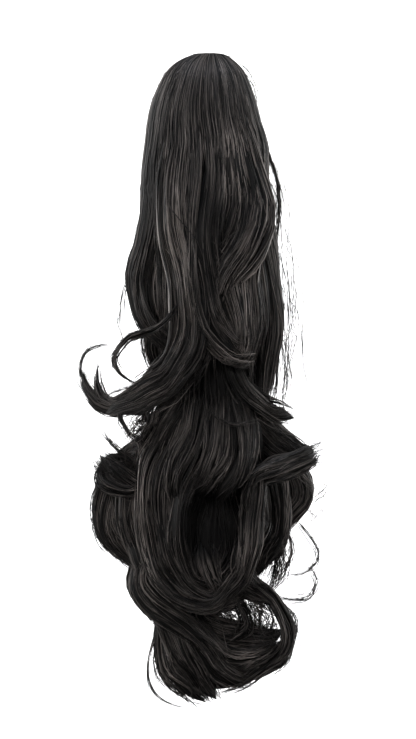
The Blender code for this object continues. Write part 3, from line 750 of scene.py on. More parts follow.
def weave(name, bundles, sides, rng):
    """One mesh of closed bodies, each swept along its path, with a map of its fibres."""
    corners, quads, caps, quad_map, cap_map, tones = [], [], [], [], [], []
    first = 0
    for bundle in map(with_the_flow, bundles):
        count, steps = bundle.paths.shape[:2]
        corners.append(swept(bundle, sides, rng).reshape(-1, 3))
        on_quads, on_caps = fibre_map(bundle, sides, rng)
        quad_map.append(on_quads)
        cap_map.append(on_caps)
        index = first + np.arange(count * steps * sides).reshape(count, steps, sides)
        near, far = index[:, :-1], index[:, 1:]
        quads.append(np.stack(
            (near, np.roll(near, -1, 2), np.roll(far, -1, 2), far), axis=-1
        ).reshape(-1, 4))
        caps.extend((index[:, 0, ::-1], index[:, -1]))
        # Painted light and shade at each corner: the bundle's painted shade times the painted spots at
        # its place.
        tone = np.broadcast_to(bundle.tone, (count, steps)) * painted_light_and_shade(bundle.paths)
        tones.append(np.repeat(tone, sides))
        first += count * steps * sides
    corners = np.concatenate(corners)
    quads, caps = np.concatenate(quads), np.concatenate(caps)
    loops = np.concatenate((quads.ravel(), caps.ravel()))
    sizes = np.concatenate((np.full(len(quads), 4), np.full(len(caps), sides)))
    mesh = bpy.data.meshes.new(name)
    mesh.vertices.add(len(corners))
    mesh.vertices.foreach_set("co", corners.ravel())
    mesh.loops.add(len(loops))
    mesh.loops.foreach_set("vertex_index", loops)
    mesh.polygons.add(len(sizes))
    mesh.polygons.foreach_set("loop_start", np.concatenate(([0], np.cumsum(sizes)[:-1])))
    mesh.polygons.foreach_set("loop_total", sizes)
    mesh.update(calc_edges=True)
    mesh.shade_smooth()
    layer = mesh.uv_layers.new(name="FibreMap")
    layer.data.foreach_set("uv", np.concatenate(quad_map + cap_map).ravel())
    mesh.attributes.new("PaintedLightAndShade", "FLOAT", "POINT").data.foreach_set("value", np.concatenate(tones))
    mesh.validate()
    piece = bpy.data.objects.new(name, mesh)
    bpy.context.collection.objects.link(piece)
    return piece


# Painted light and shade: spots where the hair's colour is painted paler as a highlight, where the gain
# is above 0, or darker as shade, where it is below 0.
PaintedSpot = namedtuple("PaintedSpot", "place gain drop side down across")
PAINTED_SHEENS_AND_SHADE = (  # where the blend of fibres is paler or darker, by how much, and how far round the place
    PaintedSpot("crown", 0.22, 0.02, 0.00, 0.035, 0.50),
    PaintedSpot("left_lock_high", 0.15, 0.19, -0.22, 0.06, 0.10),
    PaintedSpot("left_lock", 1.55, 0.29, -0.27, 0.08, 0.12),
    PaintedSpot("left_lock_low", 0.50, 0.39, -0.29, 0.05, 0.12),
    PaintedSpot("left_edge", -0.40, 0.22, -0.50, 0.14, 0.10),
    PaintedSpot("left_edge_low", 0.60, 0.32, -0.46, 0.06, 0.09),
    PaintedSpot("right_edge", -0.05, 0.12, 0.45, 0.07, 0.05),
    PaintedSpot("right_edge_low", 0.90, 0.24, 0.47, 0.05, 0.07),
    PaintedSpot("middle_high", 0.50, 0.135, -0.05, 0.030, 0.08),
    PaintedSpot("left_bulge", 0.45, 0.70, -0.80, 0.05, 0.10),
    PaintedSpot("right_bulge", 0.40, 0.68, 0.66, 0.05, 0.10),
    PaintedSpot("dark_middle", -0.33, 0.24, 0.02, 0.07, 0.09),
    PaintedSpot("right_sheen", 2.40, 0.177, 0.22, 0.045, 0.15),
    PaintedSpot("right_lock", 0.55, 0.37, 0.27, 0.08, 0.16),
    PaintedSpot("right_dark", -0.25, 0.255, 0.20, 0.030, 0.12),
    PaintedSpot("drape", 1.50, 0.466, 0.18, 0.010, 0.20),
    PaintedSpot("under_drape", -0.45, 0.51, 0.08, 0.030, 0.22),
    PaintedSpot("fan", 0.40, 0.53, -0.54, 0.035, 0.24),
    PaintedSpot("knob", -0.42, 0.65, -0.77, 0.035, 0.20),
    PaintedSpot("wing", -0.34, 0.61, 0.62, 0.020, 0.24),
    PaintedSpot("wing_band", 0.30, 0.635, 0.68, 0.010, 0.18),
    PaintedSpot("centre_fan", 0.42, 0.64, 0.10, 0.035, 0.16),
    PaintedSpot("great_curl", 1.50, 0.70, -0.58, 0.09, 0.07),
    PaintedSpot("great_curl_low", 0.80, 0.79, -0.50, 0.04, 0.08),
    PaintedSpot("hollow", -0.80, 0.72, -0.02, 0.050, 0.24),
    PaintedSpot("right_gleam", 0.90, 0.76, 0.31, 0.025, 0.09),
    PaintedSpot("hollow_fall", 0.45, 0.80, 0.02, 0.025, 0.12),
    PaintedSpot("low_left_edge", 0.60, 0.955, -0.33, 0.030, 0.08),
    PaintedSpot("ring_drape", 1.80, 0.929, 0.33, 0.008, 0.12),
    PaintedSpot("low_end", -0.05, 0.93, 0.05, 0.060, 0.60),
)
PALENESS = 0.43  # the light fibres' strength where no sheen adds to it
PALEST = 2.4
SHEEN_DEPTH = 0.03  # the sheens are at the front, and fade over this depth


def painted_light_and_shade(points):
    """The painted light and shade at these points of the hair: how much paler, as painted sheen, or
    darker, as painted shade, its blend of fibres is.
    """
    drop = (CROWN_TOP - points[..., 2]) / HAIR_LENGTH
    side = points[..., 0] / (HAIR_WIDTH / 2)
    in_front = ease(0.5 - points[..., 1] / SHEEN_DEPTH)
    spots = sum(
        sheen.gain * np.exp(
            -((drop - sheen.drop) / sheen.down) ** 2 - ((side - sheen.side) / sheen.across) ** 2
        )
        for sheen in PAINTED_SHEENS_AND_SHADE
    )
    return np.clip(PALENESS + spots * in_front, 0, PALEST)


def core(lock):
    """The close fibres in the middle of a lock, sunk under the crown's surface at its root and painted
    darker as shade.
    """
    route = lock_route(lock, CORE_PACE)
    emerged = ease(route.share / (0.4 if lock.crown else 0.2))
    full = CORE_SHARE * np.minimum(1, (1 - route.share) / 0.12 + 0.05) * (0.1 + 0.9 * emerged)
    return Bundle(
        (route.centre - route.outward * CORE_SINK * (1 - emerged)[:, None])[None], route.outward[None],
        (route.half_width * full)[None], (route.half_thickness * full)[None], CORE_PAINTED_SHADE,
    )


# The light fibres' colour is partly their own lighter tone and partly painted highlight: it is far paler
# than the off-black hair, so where the painted light is strong they stand in for sheen. The tufts are
# painted darker than the loose strands, as shade between them.
strand_hair = dress_in_fibre(
    "strand_hair", (0.0012, 0.0010, 0.0009), (0.306, 0.2680, 0.2450), rough=0.55, sleek=0.20,
    stretch=(0.5, 0.02, 1), source="UV", bump=0.00005, shine=0.28,
)
tuft_hair = dress_in_fibre(
    "tuft_hair", (0.0006, 0.0005, 0.0004), (0.158, 0.1370, 0.1240), rough=0.70, sleek=0.26,
    stretch=(1.2, 0.01, 1), source="UV", bump=0.0012, shine=0.22,
)


def weave_locks(weft, locks, combed, rng):
    """A weft's lock cores, and the tufts on them."""
    cores = weave(f"{weft}_lock_cores", map(core, locks), CORE_SIDES, rng)
    tufts = weave(f"{weft}_tufts", [flat for flat, _ in combed], TUFT_SIDES, rng)
    finish_hair(cores, tuft_hair)
    finish_hair(tufts, tuft_hair)


def weave_strands(name, bundles, rng):
    """A piece of loose strands."""
    finish_hair(weave(name, bundles, STRAND_SIDES, rng), strand_hair)


TUFT_LIFT = (-0.0026, -0.0010)
STRAND_LIFT = (-0.0004, 0.0010)
CROSSING_HAIRS = 6  # from one lock to another
CROSSINGS = (
    ("left_sweep", "left_fan"), ("left_fan", "centre_left"), ("centre_left", "left_fan"),
    ("centre_left", "centre_right"), ("centre_right", "centre_left"), ("centre_right", "right_sweep"),
    ("right_sweep", "centre_right"),
)

short_rng = np.random.default_rng(11)
short_combed = {lock.name: comb(lock, short_rng) for lock in SHORT_LOCKS}
for lock in SHORT_LOCKS:
    if lock.crown:
        flat, loose = short_combed[lock.name]
        short_combed[lock.name] = (
            from_the_crown(lock, flat, short_rng, TUFT_LIFT),
            from_the_crown(lock, loose, short_rng, STRAND_LIFT),
        )
crossing_hair = [
    cross_over(short_combed[one][1], short_combed[other][1], CROSSING_HAIRS, short_rng)
    for one, other in CROSSINGS
]
left_names = ("left_sweep", "left_fan", "loop_lock", "left_flick", "flick_inner_tip", "nape_left")
right_names = tuple(name for name in short_combed if name not in left_names)
weave_locks("short", SHORT_LOCKS, short_combed.values(), short_rng)
weave_strands("short_strands_left", [short_combed[name][1] for name in left_names], short_rng)
weave_strands("short_strands_right", [short_combed[name][1] for name in right_names], short_rng)
weave_strands("crown_strands", [
    sheet(
        SHORT_RINGS, short_rng, count=640, start=PARTING, end=(0.38, 0.52), angles=(-140, 140),
        clusters=170,
    ),
    sheet(
        SHORT_RINGS, short_rng, count=70, start=PARTING, end=(0.038, 0.043), angles=(142, 218), steps=12
    ),
    sheet(
        SHORT_RINGS, short_rng, count=130, start=(0.206, 0.215), end=(0.42, 0.54), angles=(138, 222),
        steps=18,
    ),
    *crossing_hair,
], short_rng)

# Middle weft. Its hair leaves the clip's foot in a hank, comes out from under the short weft and
# rolls up into a knob on the left and a wing on the right. It is sewn on under the short weft.
MIDDLE_RINGS = (
    Ring(0.400, 0.02, 0.34, 0.58, 0.44),
    Ring(0.484, 0.02, 0.38, 0.66, 0.50),
    Ring(0.520, 0.03, 0.42, 0.72, 0.58),
    Ring(0.567, 0.03, 0.46, 0.74, 0.60),
    Ring(0.614, 0.00, 0.54, 0.74, 0.60),
    Ring(0.658, 0.02, 0.48, 0.70, 0.56),
    Ring(0.685, 0.02, 0.34, 0.50, 0.40),
)
MIDDLE_LOCKS = (
    Lock("left_knob", -30, 0.018, 0.014, 0.60, 90, False, (
        (0.600, -0.36, 0.12), (0.629, -0.58, 0.14), (0.637, -0.80, 0.22), (0.650, -0.89, 0.38),
        (0.664, -0.85, 0.50), (0.675, -0.70, 0.52), (0.664, -0.57, 0.46))),
    Lock("knob_heart", -30, 0.024, 0.016, 0.60, 70, False, (
        (0.612, -0.42, 0.18), (0.642, -0.64, 0.24), (0.656, -0.77, 0.32), (0.670, -0.72, 0.36),
        (0.678, -0.60, 0.34))),
    Lock("knob_tip", -30, 0.018, 0.010, 0.45, 70, False, (
        (0.674, -0.50, 0.42), (0.662, -0.68, 0.48), (0.643, -0.83, 0.48), (0.622, -0.935, 0.46))),
    Lock("left_veil", -20, 0.026, 0.010, 0.40, 80, False, (
        (0.510, -0.16, 0.44), (0.556, -0.33, 0.58), (0.594, -0.45, 0.58), (0.628, -0.54, 0.50),
        (0.656, -0.62, 0.40))),
    Lock("veil_strand", -20, 0.004, 0.003, 0.60, 20, False, (
        (0.545, -0.70, 0.66), (0.566, -0.72, 0.62), (0.584, -0.65, 0.58), (0.602, -0.54, 0.54),
        (0.622, -0.50, 0.48))),
    Lock("centre_fan", 0, 0.032, 0.013, 0.50, 120, False, (
        (0.500, 0.15, 0.52), (0.567, 0.25, 0.70), (0.614, 0.27, 0.80), (0.657, 0.19, 0.82),
        (0.688, 0.04, 0.70))),
    Lock("centre_stream", 0, 0.030, 0.012, 0.50, 110, False, (
        (0.500, 0.06, 0.50), (0.567, 0.08, 0.68), (0.612, 0.07, 0.80), (0.650, -0.02, 0.84),
        (0.680, -0.14, 0.74))),
    Lock("left_fall", -10, 0.030, 0.013, 0.50, 110, False, (
        (0.500, -0.04, 0.52), (0.575, -0.12, 0.68), (0.621, -0.21, 0.78), (0.668, -0.28, 0.78),
        (0.709, -0.24, 0.68))),
    Lock("right_wing", 20, 0.024, 0.014, 0.60, 90, False, (
        (0.520, 0.23, 0.30), (0.574, 0.42, 0.30), (0.606, 0.60, 0.28), (0.618, 0.74, 0.32),
        (0.620, 0.85, 0.38))),
    Lock("wing_band", 10, 0.024, 0.011, 0.50, 90, False, (
        (0.612, 0.87, 0.40), (0.626, 0.78, 0.54), (0.638, 0.60, 0.70), (0.650, 0.44, 0.78),
        (0.668, 0.33, 0.80))),
    Lock("wing_web", 20, 0.028, 0.010, 0.50, 60, False, (
        (0.535, 0.25, 0.24), (0.580, 0.43, 0.30), (0.612, 0.60, 0.34), (0.632, 0.76, 0.40))),
    Lock("right_fall", 60, 0.032, 0.015, 0.40, 70, False, (
        (0.510, 0.34, 0.14), (0.575, 0.47, 0.08), (0.629, 0.50, 0.06), (0.683, 0.44, 0.10))),
    Lock("nape_left", -150, 0.038, 0.014, 0.40, 60, False, (
        (0.510, -0.18, -0.44), (0.595, -0.37, -0.54), (0.657, -0.30, -0.56), (0.709, -0.12, -0.46))),
    Lock("nape_right", 150, 0.038, 0.014, 0.40, 60, False, (
        (0.510, 0.20, -0.44), (0.592, 0.40, -0.54), (0.660, 0.33, -0.56), (0.716, 0.15, -0.46))),
)

middle_rng = np.random.default_rng(23)
middle_backing = model_backing("middle_backing", MIDDLE_RINGS, levels=28)
finish_hair(middle_backing, deep_hair_painted_shade, "middle_weft")
middle_combed = [comb(lock, middle_rng) for lock in MIDDLE_LOCKS]
weave_locks("middle", MIDDLE_LOCKS, middle_combed, middle_rng)
weave_strands("middle_strands", [
    *(loose for _, loose in middle_combed),
    sheet(
        MIDDLE_RINGS, middle_rng, count=320, start=(0.42, 0.48), end=(0.62, 0.72), angles=(-180, 180),
        steps=16,
    ),
], middle_rng)

# Long weft. Its hair is the longest, sewn on nearest the clip, and comes out from under the middle
# weft in the great C curl, the bulges at both sides and the small curls of the lower end.
LONG_RINGS = (
    Ring(0.600, 0.01, 0.34, 0.40, 0.36),
    Ring(0.693, 0.01, 0.42, 0.46, 0.42),
    Ring(0.722, -0.01, 0.60, 0.56, 0.54),
    Ring(0.768, -0.02, 0.62, 0.56, 0.56),
    Ring(0.805, -0.07, 0.46, 0.56, 0.52),
    Ring(0.832, -0.14, 0.37, 0.52, 0.46),
    Ring(0.853, -0.20, 0.27, 0.48, 0.40),
    Ring(0.885, -0.18, 0.27, 0.44, 0.34),
    Ring(0.908, -0.02, 0.38, 0.40, 0.30),
    Ring(0.935, 0.05, 0.42, 0.34, 0.26),
    Ring(0.960, 0.02, 0.33, 0.26, 0.20),
    Ring(0.982, -0.04, 0.18, 0.14, 0.12),
)
LONG_LOCKS = (
    Lock("great_curl", -25, 0.016, 0.014, 0.60, 120, False, (
        (0.540, -0.10, 0.10), (0.575, -0.30, 0.40), (0.610, -0.46, 0.56), (0.655, -0.54, 0.60),
        (0.714, -0.56, 0.58), (0.776, -0.51, 0.62), (0.827, -0.34, 0.70), (0.850, -0.09, 0.70),
        (0.834, 0.12, 0.58), (0.800, 0.19, 0.44))),
    Lock("curl_lining", -20, 0.022, 0.014, 0.45, 110, False, (
        (0.560, -0.04, 0.10), (0.600, -0.24, 0.48), (0.645, -0.38, 0.62), (0.714, -0.41, 0.60),
        (0.776, -0.35, 0.64), (0.818, -0.22, 0.68), (0.838, -0.02, 0.64), (0.822, 0.14, 0.54))),
    Lock("inner_curl", -5, 0.022, 0.012, 0.40, 100, False, (
        (0.580, 0.04, 0.10), (0.610, -0.04, 0.50), (0.645, -0.14, 0.72), (0.699, -0.24, 0.74),
        (0.760, -0.26, 0.72), (0.808, -0.17, 0.68), (0.821, 0.02, 0.56))),
    Lock("left_bulge", -40, 0.032, 0.016, 0.50, 130, False, (
        (0.580, -0.04, 0.00), (0.610, -0.48, -0.04), (0.652, -0.74, 0.00), (0.695, -0.83, 0.04),
        (0.732, -0.83, 0.08), (0.764, -0.73, 0.14), (0.786, -0.58, 0.22), (0.808, -0.46, 0.30))),
    Lock("bulge_middle", -35, 0.030, 0.014, 0.50, 90, False, (
        (0.600, -0.10, 0.06), (0.640, -0.56, 0.10), (0.690, -0.70, 0.16), (0.735, -0.70, 0.20),
        (0.775, -0.60, 0.24), (0.806, -0.48, 0.30))),
    Lock("left_drape", -30, 0.034, 0.014, 0.45, 90, False, (
        (0.600, -0.20, 0.10), (0.640, -0.58, 0.24), (0.690, -0.66, 0.30), (0.740, -0.64, 0.32),
        (0.790, -0.56, 0.32), (0.835, -0.42, 0.34))),
    Lock("left_low", -40, 0.024, 0.013, 0.45, 100, False, (
        (0.745, -0.48, 0.20), (0.808, -0.60, 0.26), (0.846, -0.51, 0.38), (0.876, -0.28, 0.50),
        (0.907, -0.07, 0.52), (0.944, 0.08, 0.42))),
    Lock("bottom_left", -20, 0.022, 0.011, 0.35, 100, False, (
        (0.838, -0.30, 0.18), (0.893, -0.375, 0.22), (0.943, -0.33, 0.26), (0.978, -0.20, 0.26),
        (1.002, -0.03, 0.18))),
    Lock("low_fall", -15, 0.034, 0.012, 0.45, 120, False, (
        (0.850, -0.36, 0.28), (0.888, -0.30, 0.38), (0.928, -0.20, 0.38), (0.962, -0.08, 0.30),
        (0.996, 0.05, 0.18))),
    Lock("hollow_fall", 0, 0.030, 0.010, 0.60, 80, False, (
        (0.752, -0.06, 0.50), (0.791, -0.05, 0.56), (0.820, -0.01, 0.56), (0.842, 0.05, 0.50))),
    Lock("right_drape", 30, 0.034, 0.014, 0.45, 90, False, (
        (0.610, 0.22, 0.10), (0.645, 0.48, 0.34), (0.690, 0.54, 0.38), (0.735, 0.52, 0.38),
        (0.780, 0.40, 0.36), (0.820, 0.28, 0.34))),
    Lock("right_bulge", 40, 0.030, 0.016, 0.45, 130, False, (
        (0.590, 0.10, 0.00), (0.617, 0.50, 0.02), (0.654, 0.67, 0.08), (0.688, 0.70, 0.12),
        (0.716, 0.57, 0.16), (0.745, 0.42, 0.24), (0.778, 0.29, 0.34), (0.818, 0.20, 0.38))),
    Lock("right_inner", 10, 0.024, 0.013, 0.40, 100, False, (
        (0.610, 0.14, 0.10), (0.645, 0.35, 0.56), (0.675, 0.37, 0.72), (0.714, 0.33, 0.74),
        (0.760, 0.31, 0.72), (0.798, 0.24, 0.66), (0.832, 0.10, 0.56), (0.856, -0.04, 0.50))),
    Lock("right_swirl", 10, 0.012, 0.006, 0.40, 50, False, (
        (0.630, 0.56, 0.64), (0.650, 0.40, 0.76), (0.682, 0.325, 0.80), (0.703, 0.335, 0.80),
        (0.720, 0.39, 0.76))),
    Lock("right_gleam", 5, 0.022, 0.010, 0.50, 60, False, (
        (0.706, 0.46, 0.56), (0.735, 0.37, 0.64), (0.768, 0.28, 0.66), (0.799, 0.29, 0.62),
        (0.822, 0.36, 0.52))),
    Lock("bottom_right", 15, 0.012, 0.011, 0.65, 110, False, (
        (0.780, 0.12, 0.30), (0.812, 0.32, 0.38), (0.845, 0.525, 0.42), (0.880, 0.635, 0.42),
        (0.912, 0.615, 0.38), (0.945, 0.46, 0.34), (0.972, 0.24, 0.26), (0.981, 0.04, 0.18))),
    Lock("ring_lining", 10, 0.026, 0.008, 0.60, 100, False, (
        (0.908, 0.61, 0.24), (0.926, 0.54, 0.28), (0.942, 0.40, 0.30), (0.956, 0.22, 0.26),
        (0.966, 0.04, 0.18))),
    Lock("ring_root", 10, 0.016, 0.010, 0.30, 60, False, (
        (0.800, 0.10, 0.34), (0.824, 0.24, 0.38), (0.838, 0.38, 0.40), (0.852, 0.52, 0.40))),
    Lock("ring_floor", 10, 0.030, 0.008, 0.60, 90, False, (
        (0.866, -0.20, 0.30), (0.889, 0.00, 0.36), (0.900, 0.20, 0.36), (0.902, 0.40, 0.32),
        (0.890, 0.61, 0.26))),
    Lock("ring_drape", 5, 0.016, 0.009, 0.50, 70, False, (
        (0.880, -0.10, 0.46), (0.909, 0.02, 0.50), (0.926, 0.20, 0.48), (0.924, 0.40, 0.44),
        (0.904, 0.54, 0.42))),
    Lock("ring_brow", 5, 0.014, 0.009, 0.40, 60, False, (
        (0.826, -0.20, 0.44), (0.845, 0.00, 0.46), (0.847, 0.16, 0.44), (0.838, 0.30, 0.40))),
    Lock("ring_bar", 10, 0.010, 0.007, 0.50, 40, False, (
        (0.838, 0.20, 0.42), (0.866, 0.28, 0.44), (0.890, 0.28, 0.46), (0.906, 0.20, 0.48))),
    Lock("bottom_middle", 0, 0.026, 0.011, 0.40, 80, False, (
        (0.868, -0.14, 0.38), (0.906, -0.04, 0.46), (0.938, 0.08, 0.44), (0.960, 0.24, 0.34),
        (0.962, 0.40, 0.28))),
    Lock("tail_left", -150, 0.036, 0.014, 0.40, 70, False, (
        (0.705, -0.20, -0.44), (0.784, -0.40, -0.52), (0.845, -0.30, -0.46), (0.907, -0.10, -0.34),
        (0.960, -0.03, -0.16))),
    Lock("tail_right", 150, 0.034, 0.014, 0.40, 70, False, (
        (0.705, 0.22, -0.44), (0.760, 0.36, -0.52), (0.812, 0.18, -0.48), (0.860, -0.04, -0.40),
        (0.915, 0.06, -0.30), (0.957, 0.10, -0.16))),
)
LEFT_LONG = 10  # the first locks of the table, which lie on the left

long_rng = np.random.default_rng(37)
long_backing = model_backing("long_backing", LONG_RINGS, levels=34)
finish_hair(long_backing, deep_hair_painted_shade, "long_weft")
long_combed = [comb(lock, long_rng) for lock in LONG_LOCKS]
weave_locks("long", LONG_LOCKS, long_combed, long_rng)
for name, locks, angles in (
    ("long_strands_left", long_combed[:LEFT_LONG], (-180, 0)),
    ("long_strands_right", long_combed[LEFT_LONG:], (0, 180)),
):
    weave_strands(name, [
        *(loose for _, loose in locks),
        sheet(
            LONG_RINGS, long_rng, count=140, start=(0.62, 0.70), end=(0.82, 0.98), angles=angles,
            steps=18, sway=0.006,
        ),
    ], long_rng)

# Wisps and flyaways. They are single hairs and thin groups that have worked out of the locks, as on
# any combed hairpiece: loops at the right edge, spikes at the curls' tips and fuzz on the outline.
WISP_WIDTH = 0.00056
WISP_ROOTS, WISP_ENDS = 0.15, 0.08  # how far apart they lie, in shares of a wisp
UPPER_FLYAWAYS, LOWER_FLYAWAYS = 240, 320
FLYAWAY_START, FLYAWAY_LENGTH = (0.25, 0.8), (0.15, 0.4)  # in shares of the strand it springs from
FLYAWAY_RISE = (0.002, 0.009)  # how far their tips stand off
FLYAWAY_WIDTH = 0.9 * WISP_WIDTH

# Spread is how far apart a wisp's hairs lie, and its bends are given as a lock's.
Wisp = namedtuple("Wisp", "name strands spread bends")
WISPS = (
    Wisp("right_edge_loop", 26, 0.0007, (
        (0.130, 0.445, 0.20), (0.164, 0.495, 0.20), (0.190, 0.545, 0.20), (0.212, 0.563, 0.20),
        (0.240, 0.568, 0.20), (0.275, 0.552, 0.20), (0.323, 0.52, 0.20))),
    Wisp("right_edge_hairs", 24, 0.0026, (
        (0.185, 0.46, 0.20), (0.215, 0.51, 0.20), (0.245, 0.53, 0.20), (0.285, 0.53, 0.20),
        (0.323, 0.51, 0.20))),
    Wisp("right_outer", 9, 0.0048, (
        (0.134, 0.46, 0.10), (0.212, 0.61, 0.10), (0.289, 0.67, 0.10), (0.382, 0.70, 0.10),
        (0.451, 0.73, 0.10), (0.505, 0.76, 0.10), (0.533, 0.86, 0.10))),
    Wisp("right_middle", 12, 0.0042, (
        (0.258, 0.50, 0.20), (0.335, 0.64, 0.20), (0.413, 0.69, 0.20), (0.459, 0.66, 0.20),
        (0.505, 0.68, 0.20), (0.567, 0.66, 0.20))),
    Wisp("right_hanging", 14, 0.0020, (
        (0.400, 0.56, 0.20), (0.440, 0.62, 0.20), (0.490, 0.64, 0.20), (0.536, 0.58, 0.20),
        (0.575, 0.64, 0.20))),
    Wisp("flick_hair", 14, 0.0008, (
        (0.516, -1.02, 0.20), (0.493, -1.06, 0.12), (0.462, -1.01, 0.12), (0.450, -0.91, 0.12),
        (0.452, -0.80, 0.12))),
    Wisp("left_edge", 10, 0.0014, (
        (0.343, -0.68, 0.20), (0.382, -0.74, 0.20), (0.420, -0.73, 0.20), (0.451, -0.66, 0.20))),
    Wisp("veil_outer", 26, 0.0010, (
        (0.540, -0.66, 0.60), (0.562, -0.74, 0.56), (0.582, -0.67, 0.52), (0.602, -0.60, 0.48))),
    Wisp("veil_middle", 60, 0.0036, (
        (0.545, -0.50, 0.80), (0.565, -0.52, 0.74), (0.585, -0.57, 0.64), (0.605, -0.62, 0.52))),
    Wisp("veil_inner", 50, 0.0030, (
        (0.540, -0.42, 0.80), (0.560, -0.46, 0.74), (0.582, -0.52, 0.64), (0.600, -0.56, 0.52))),
    Wisp("long_spikes", 14, 0.0010, (
        (0.635, -0.58, 0.40), (0.618, -0.68, 0.36), (0.602, -0.80, 0.30), (0.583, -0.92, 0.26))),
    Wisp("short_spikes", 8, 0.0010, (
        (0.632, -0.64, 0.40), (0.612, -0.76, 0.34), (0.594, -0.85, 0.30), (0.574, -0.90, 0.26))),
    Wisp("knob_spikes", 40, 0.0026, (
        (0.660, -0.78, 0.50), (0.644, -0.88, 0.46), (0.630, -0.94, 0.42), (0.620, -0.93, 0.38))),
    Wisp("knob_fuzz", 30, 0.0034, (
        (0.650, -0.62, 0.46), (0.638, -0.72, 0.44), (0.627, -0.80, 0.42), (0.619, -0.84, 0.38))),
    Wisp("wing_spikes_high", 12, 0.0010, (
        (0.618, 0.68, 0.40), (0.612, 0.80, 0.42), (0.604, 0.90, 0.42), (0.596, 0.94, 0.42))),
    Wisp("wing_spikes", 14, 0.0014, (
        (0.624, 0.72, 0.46), (0.620, 0.84, 0.48), (0.614, 0.92, 0.48), (0.610, 0.97, 0.48))),
    Wisp("wing_spikes_low", 10, 0.0012, (
        (0.634, 0.70, 0.56), (0.632, 0.82, 0.56), (0.632, 0.90, 0.54), (0.628, 0.96, 0.52))),
    Wisp("wing_web_hairs", 16, 0.0022, (
        (0.625, 0.60, 0.50), (0.650, 0.74, 0.36), (0.670, 0.80, 0.26), (0.690, 0.80, 0.20))),
    Wisp("great_loop", 15, 0.0012, (
        (0.712, 0.66, 0.30), (0.730, 0.74, 0.26), (0.754, 0.84, 0.22), (0.776, 0.89, 0.20),
        (0.792, 0.85, 0.20), (0.802, 0.72, 0.20), (0.805, 0.56, 0.20))),
    Wisp("inner_loop", 20, 0.0016, (
        (0.730, 0.62, 0.30), (0.760, 0.66, 0.26), (0.784, 0.64, 0.22), (0.810, 0.58, 0.20),
        (0.830, 0.46, 0.20))),
    Wisp("middle_loop", 20, 0.0026, (
        (0.735, 0.58, 0.34), (0.765, 0.59, 0.30), (0.790, 0.57, 0.28), (0.822, 0.50, 0.26),
        (0.845, 0.40, 0.24))),
    Wisp("low_loop", 14, 0.0016, (
        (0.791, 0.80, 0.16), (0.815, 0.88, 0.14), (0.838, 0.82, 0.14), (0.845, 0.66, 0.16),
        (0.832, 0.50, 0.20))),
    Wisp("low_hook", 4, 0.0006, (
        (0.828, 0.44, 0.34), (0.842, 0.60, 0.32), (0.843, 0.76, 0.30), (0.832, 0.88, 0.28),
        (0.822, 0.92, 0.26))),
    Wisp("side_hairs", 8, 0.0030, (
        (0.691, 0.82, 0.16), (0.682, 0.90, 0.14), (0.664, 0.95, 0.12), (0.648, 0.96, 0.12))),
    Wisp("side_hairs_low", 7, 0.0030, (
        (0.700, 0.80, 0.16), (0.712, 0.88, 0.14), (0.722, 0.95, 0.12))),
    Wisp("left_bulge_edge", 22, 0.0016, (
        (0.652, -0.88, 0.10), (0.683, -0.96, 0.08), (0.709, -0.98, 0.08), (0.740, -0.95, 0.10),
        (0.766, -0.86, 0.14), (0.786, -0.68, 0.20))),
    Wisp("crown_right", 7, 0.0022, (
        (0.012, 0.20, 0.10), (0.035, 0.31, 0.10), (0.062, 0.38, 0.10), (0.100, 0.43, 0.10))),
    Wisp("crown_left", 5, 0.0022, (
        (0.014, -0.27, 0.10), (0.040, -0.39, 0.10), (0.070, -0.465, 0.10), (0.110, -0.505, 0.10))),
    Wisp("crown_top", 10, 0.0012, (
        (0.018, -0.24, 0.10), (0.008, -0.12, 0.10), (0.005, 0.04, 0.10), (0.012, 0.20, 0.10))),
    Wisp("right_far", 6, 0.0030, (
        (0.330, 0.66, 0.10), (0.420, 0.72, 0.10), (0.500, 0.80, 0.10), (0.545, 0.94, 0.10))),
    Wisp("right_gap", 46, 0.0024, (
        (0.724, 0.52, 0.24), (0.760, 0.56, 0.20), (0.795, 0.54, 0.20), (0.830, 0.48, 0.22))),
    Wisp("flick_loop", 8, 0.0010, (
        (0.548, 0.00, 0.98), (0.566, 0.10, 0.96), (0.574, 0.24, 0.92), (0.570, 0.40, 0.82))),
    Wisp("bottom_left_loop", 10, 0.0006, (
        (0.870, -0.44, 0.24), (0.889, -0.465, 0.22), (0.912, -0.49, 0.20), (0.943, -0.505, 0.20),
        (0.972, -0.475, 0.20), (0.996, -0.40, 0.20), (1.007, -0.28, 0.20), (1.008, -0.12, 0.20))),
    Wisp("bottom_left_fine", 12, 0.0016, (
        (0.900, -0.46, 0.24), (0.935, -0.46, 0.22), (0.965, -0.42, 0.22), (0.985, -0.30, 0.20))),
    Wisp("bottom_right_halo", 18, 0.0024, (
        (0.840, 0.56, 0.36), (0.872, 0.69, 0.34), (0.905, 0.71, 0.32), (0.930, 0.65, 0.30),
        (0.954, 0.52, 0.28), (0.972, 0.38, 0.26))),
    Wisp("hole_hairs", 80, 0.0070, (
        (0.840, 0.30, 0.20), (0.866, 0.40, 0.20), (0.890, 0.46, 0.20), (0.915, 0.46, 0.20))),
    Wisp("hole_strand", 14, 0.0005, (
        (0.845, 0.34, 0.30), (0.862, 0.40, 0.30), (0.880, 0.41, 0.30), (0.900, 0.36, 0.30))),
    Wisp("hole_strand_right", 14, 0.0005, (
        (0.845, 0.44, 0.30), (0.866, 0.52, 0.30), (0.884, 0.51, 0.30), (0.904, 0.44, 0.30))),
    Wisp("hole_hairs_left", 90, 0.0060, (
        (0.848, 0.02, 0.20), (0.866, 0.10, 0.20), (0.885, 0.18, 0.20), (0.905, 0.22, 0.20))),
    Wisp("bottom_tips", 16, 0.0016, (
        (0.965, -0.12, 0.24), (0.988, -0.04, 0.22), (1.006, 0.00, 0.20))),
    Wisp("bottom_tips_right", 20, 0.0018, (
        (0.962, -0.02, 0.24), (0.982, 0.02, 0.22), (1.000, 0.06, 0.20))),
)


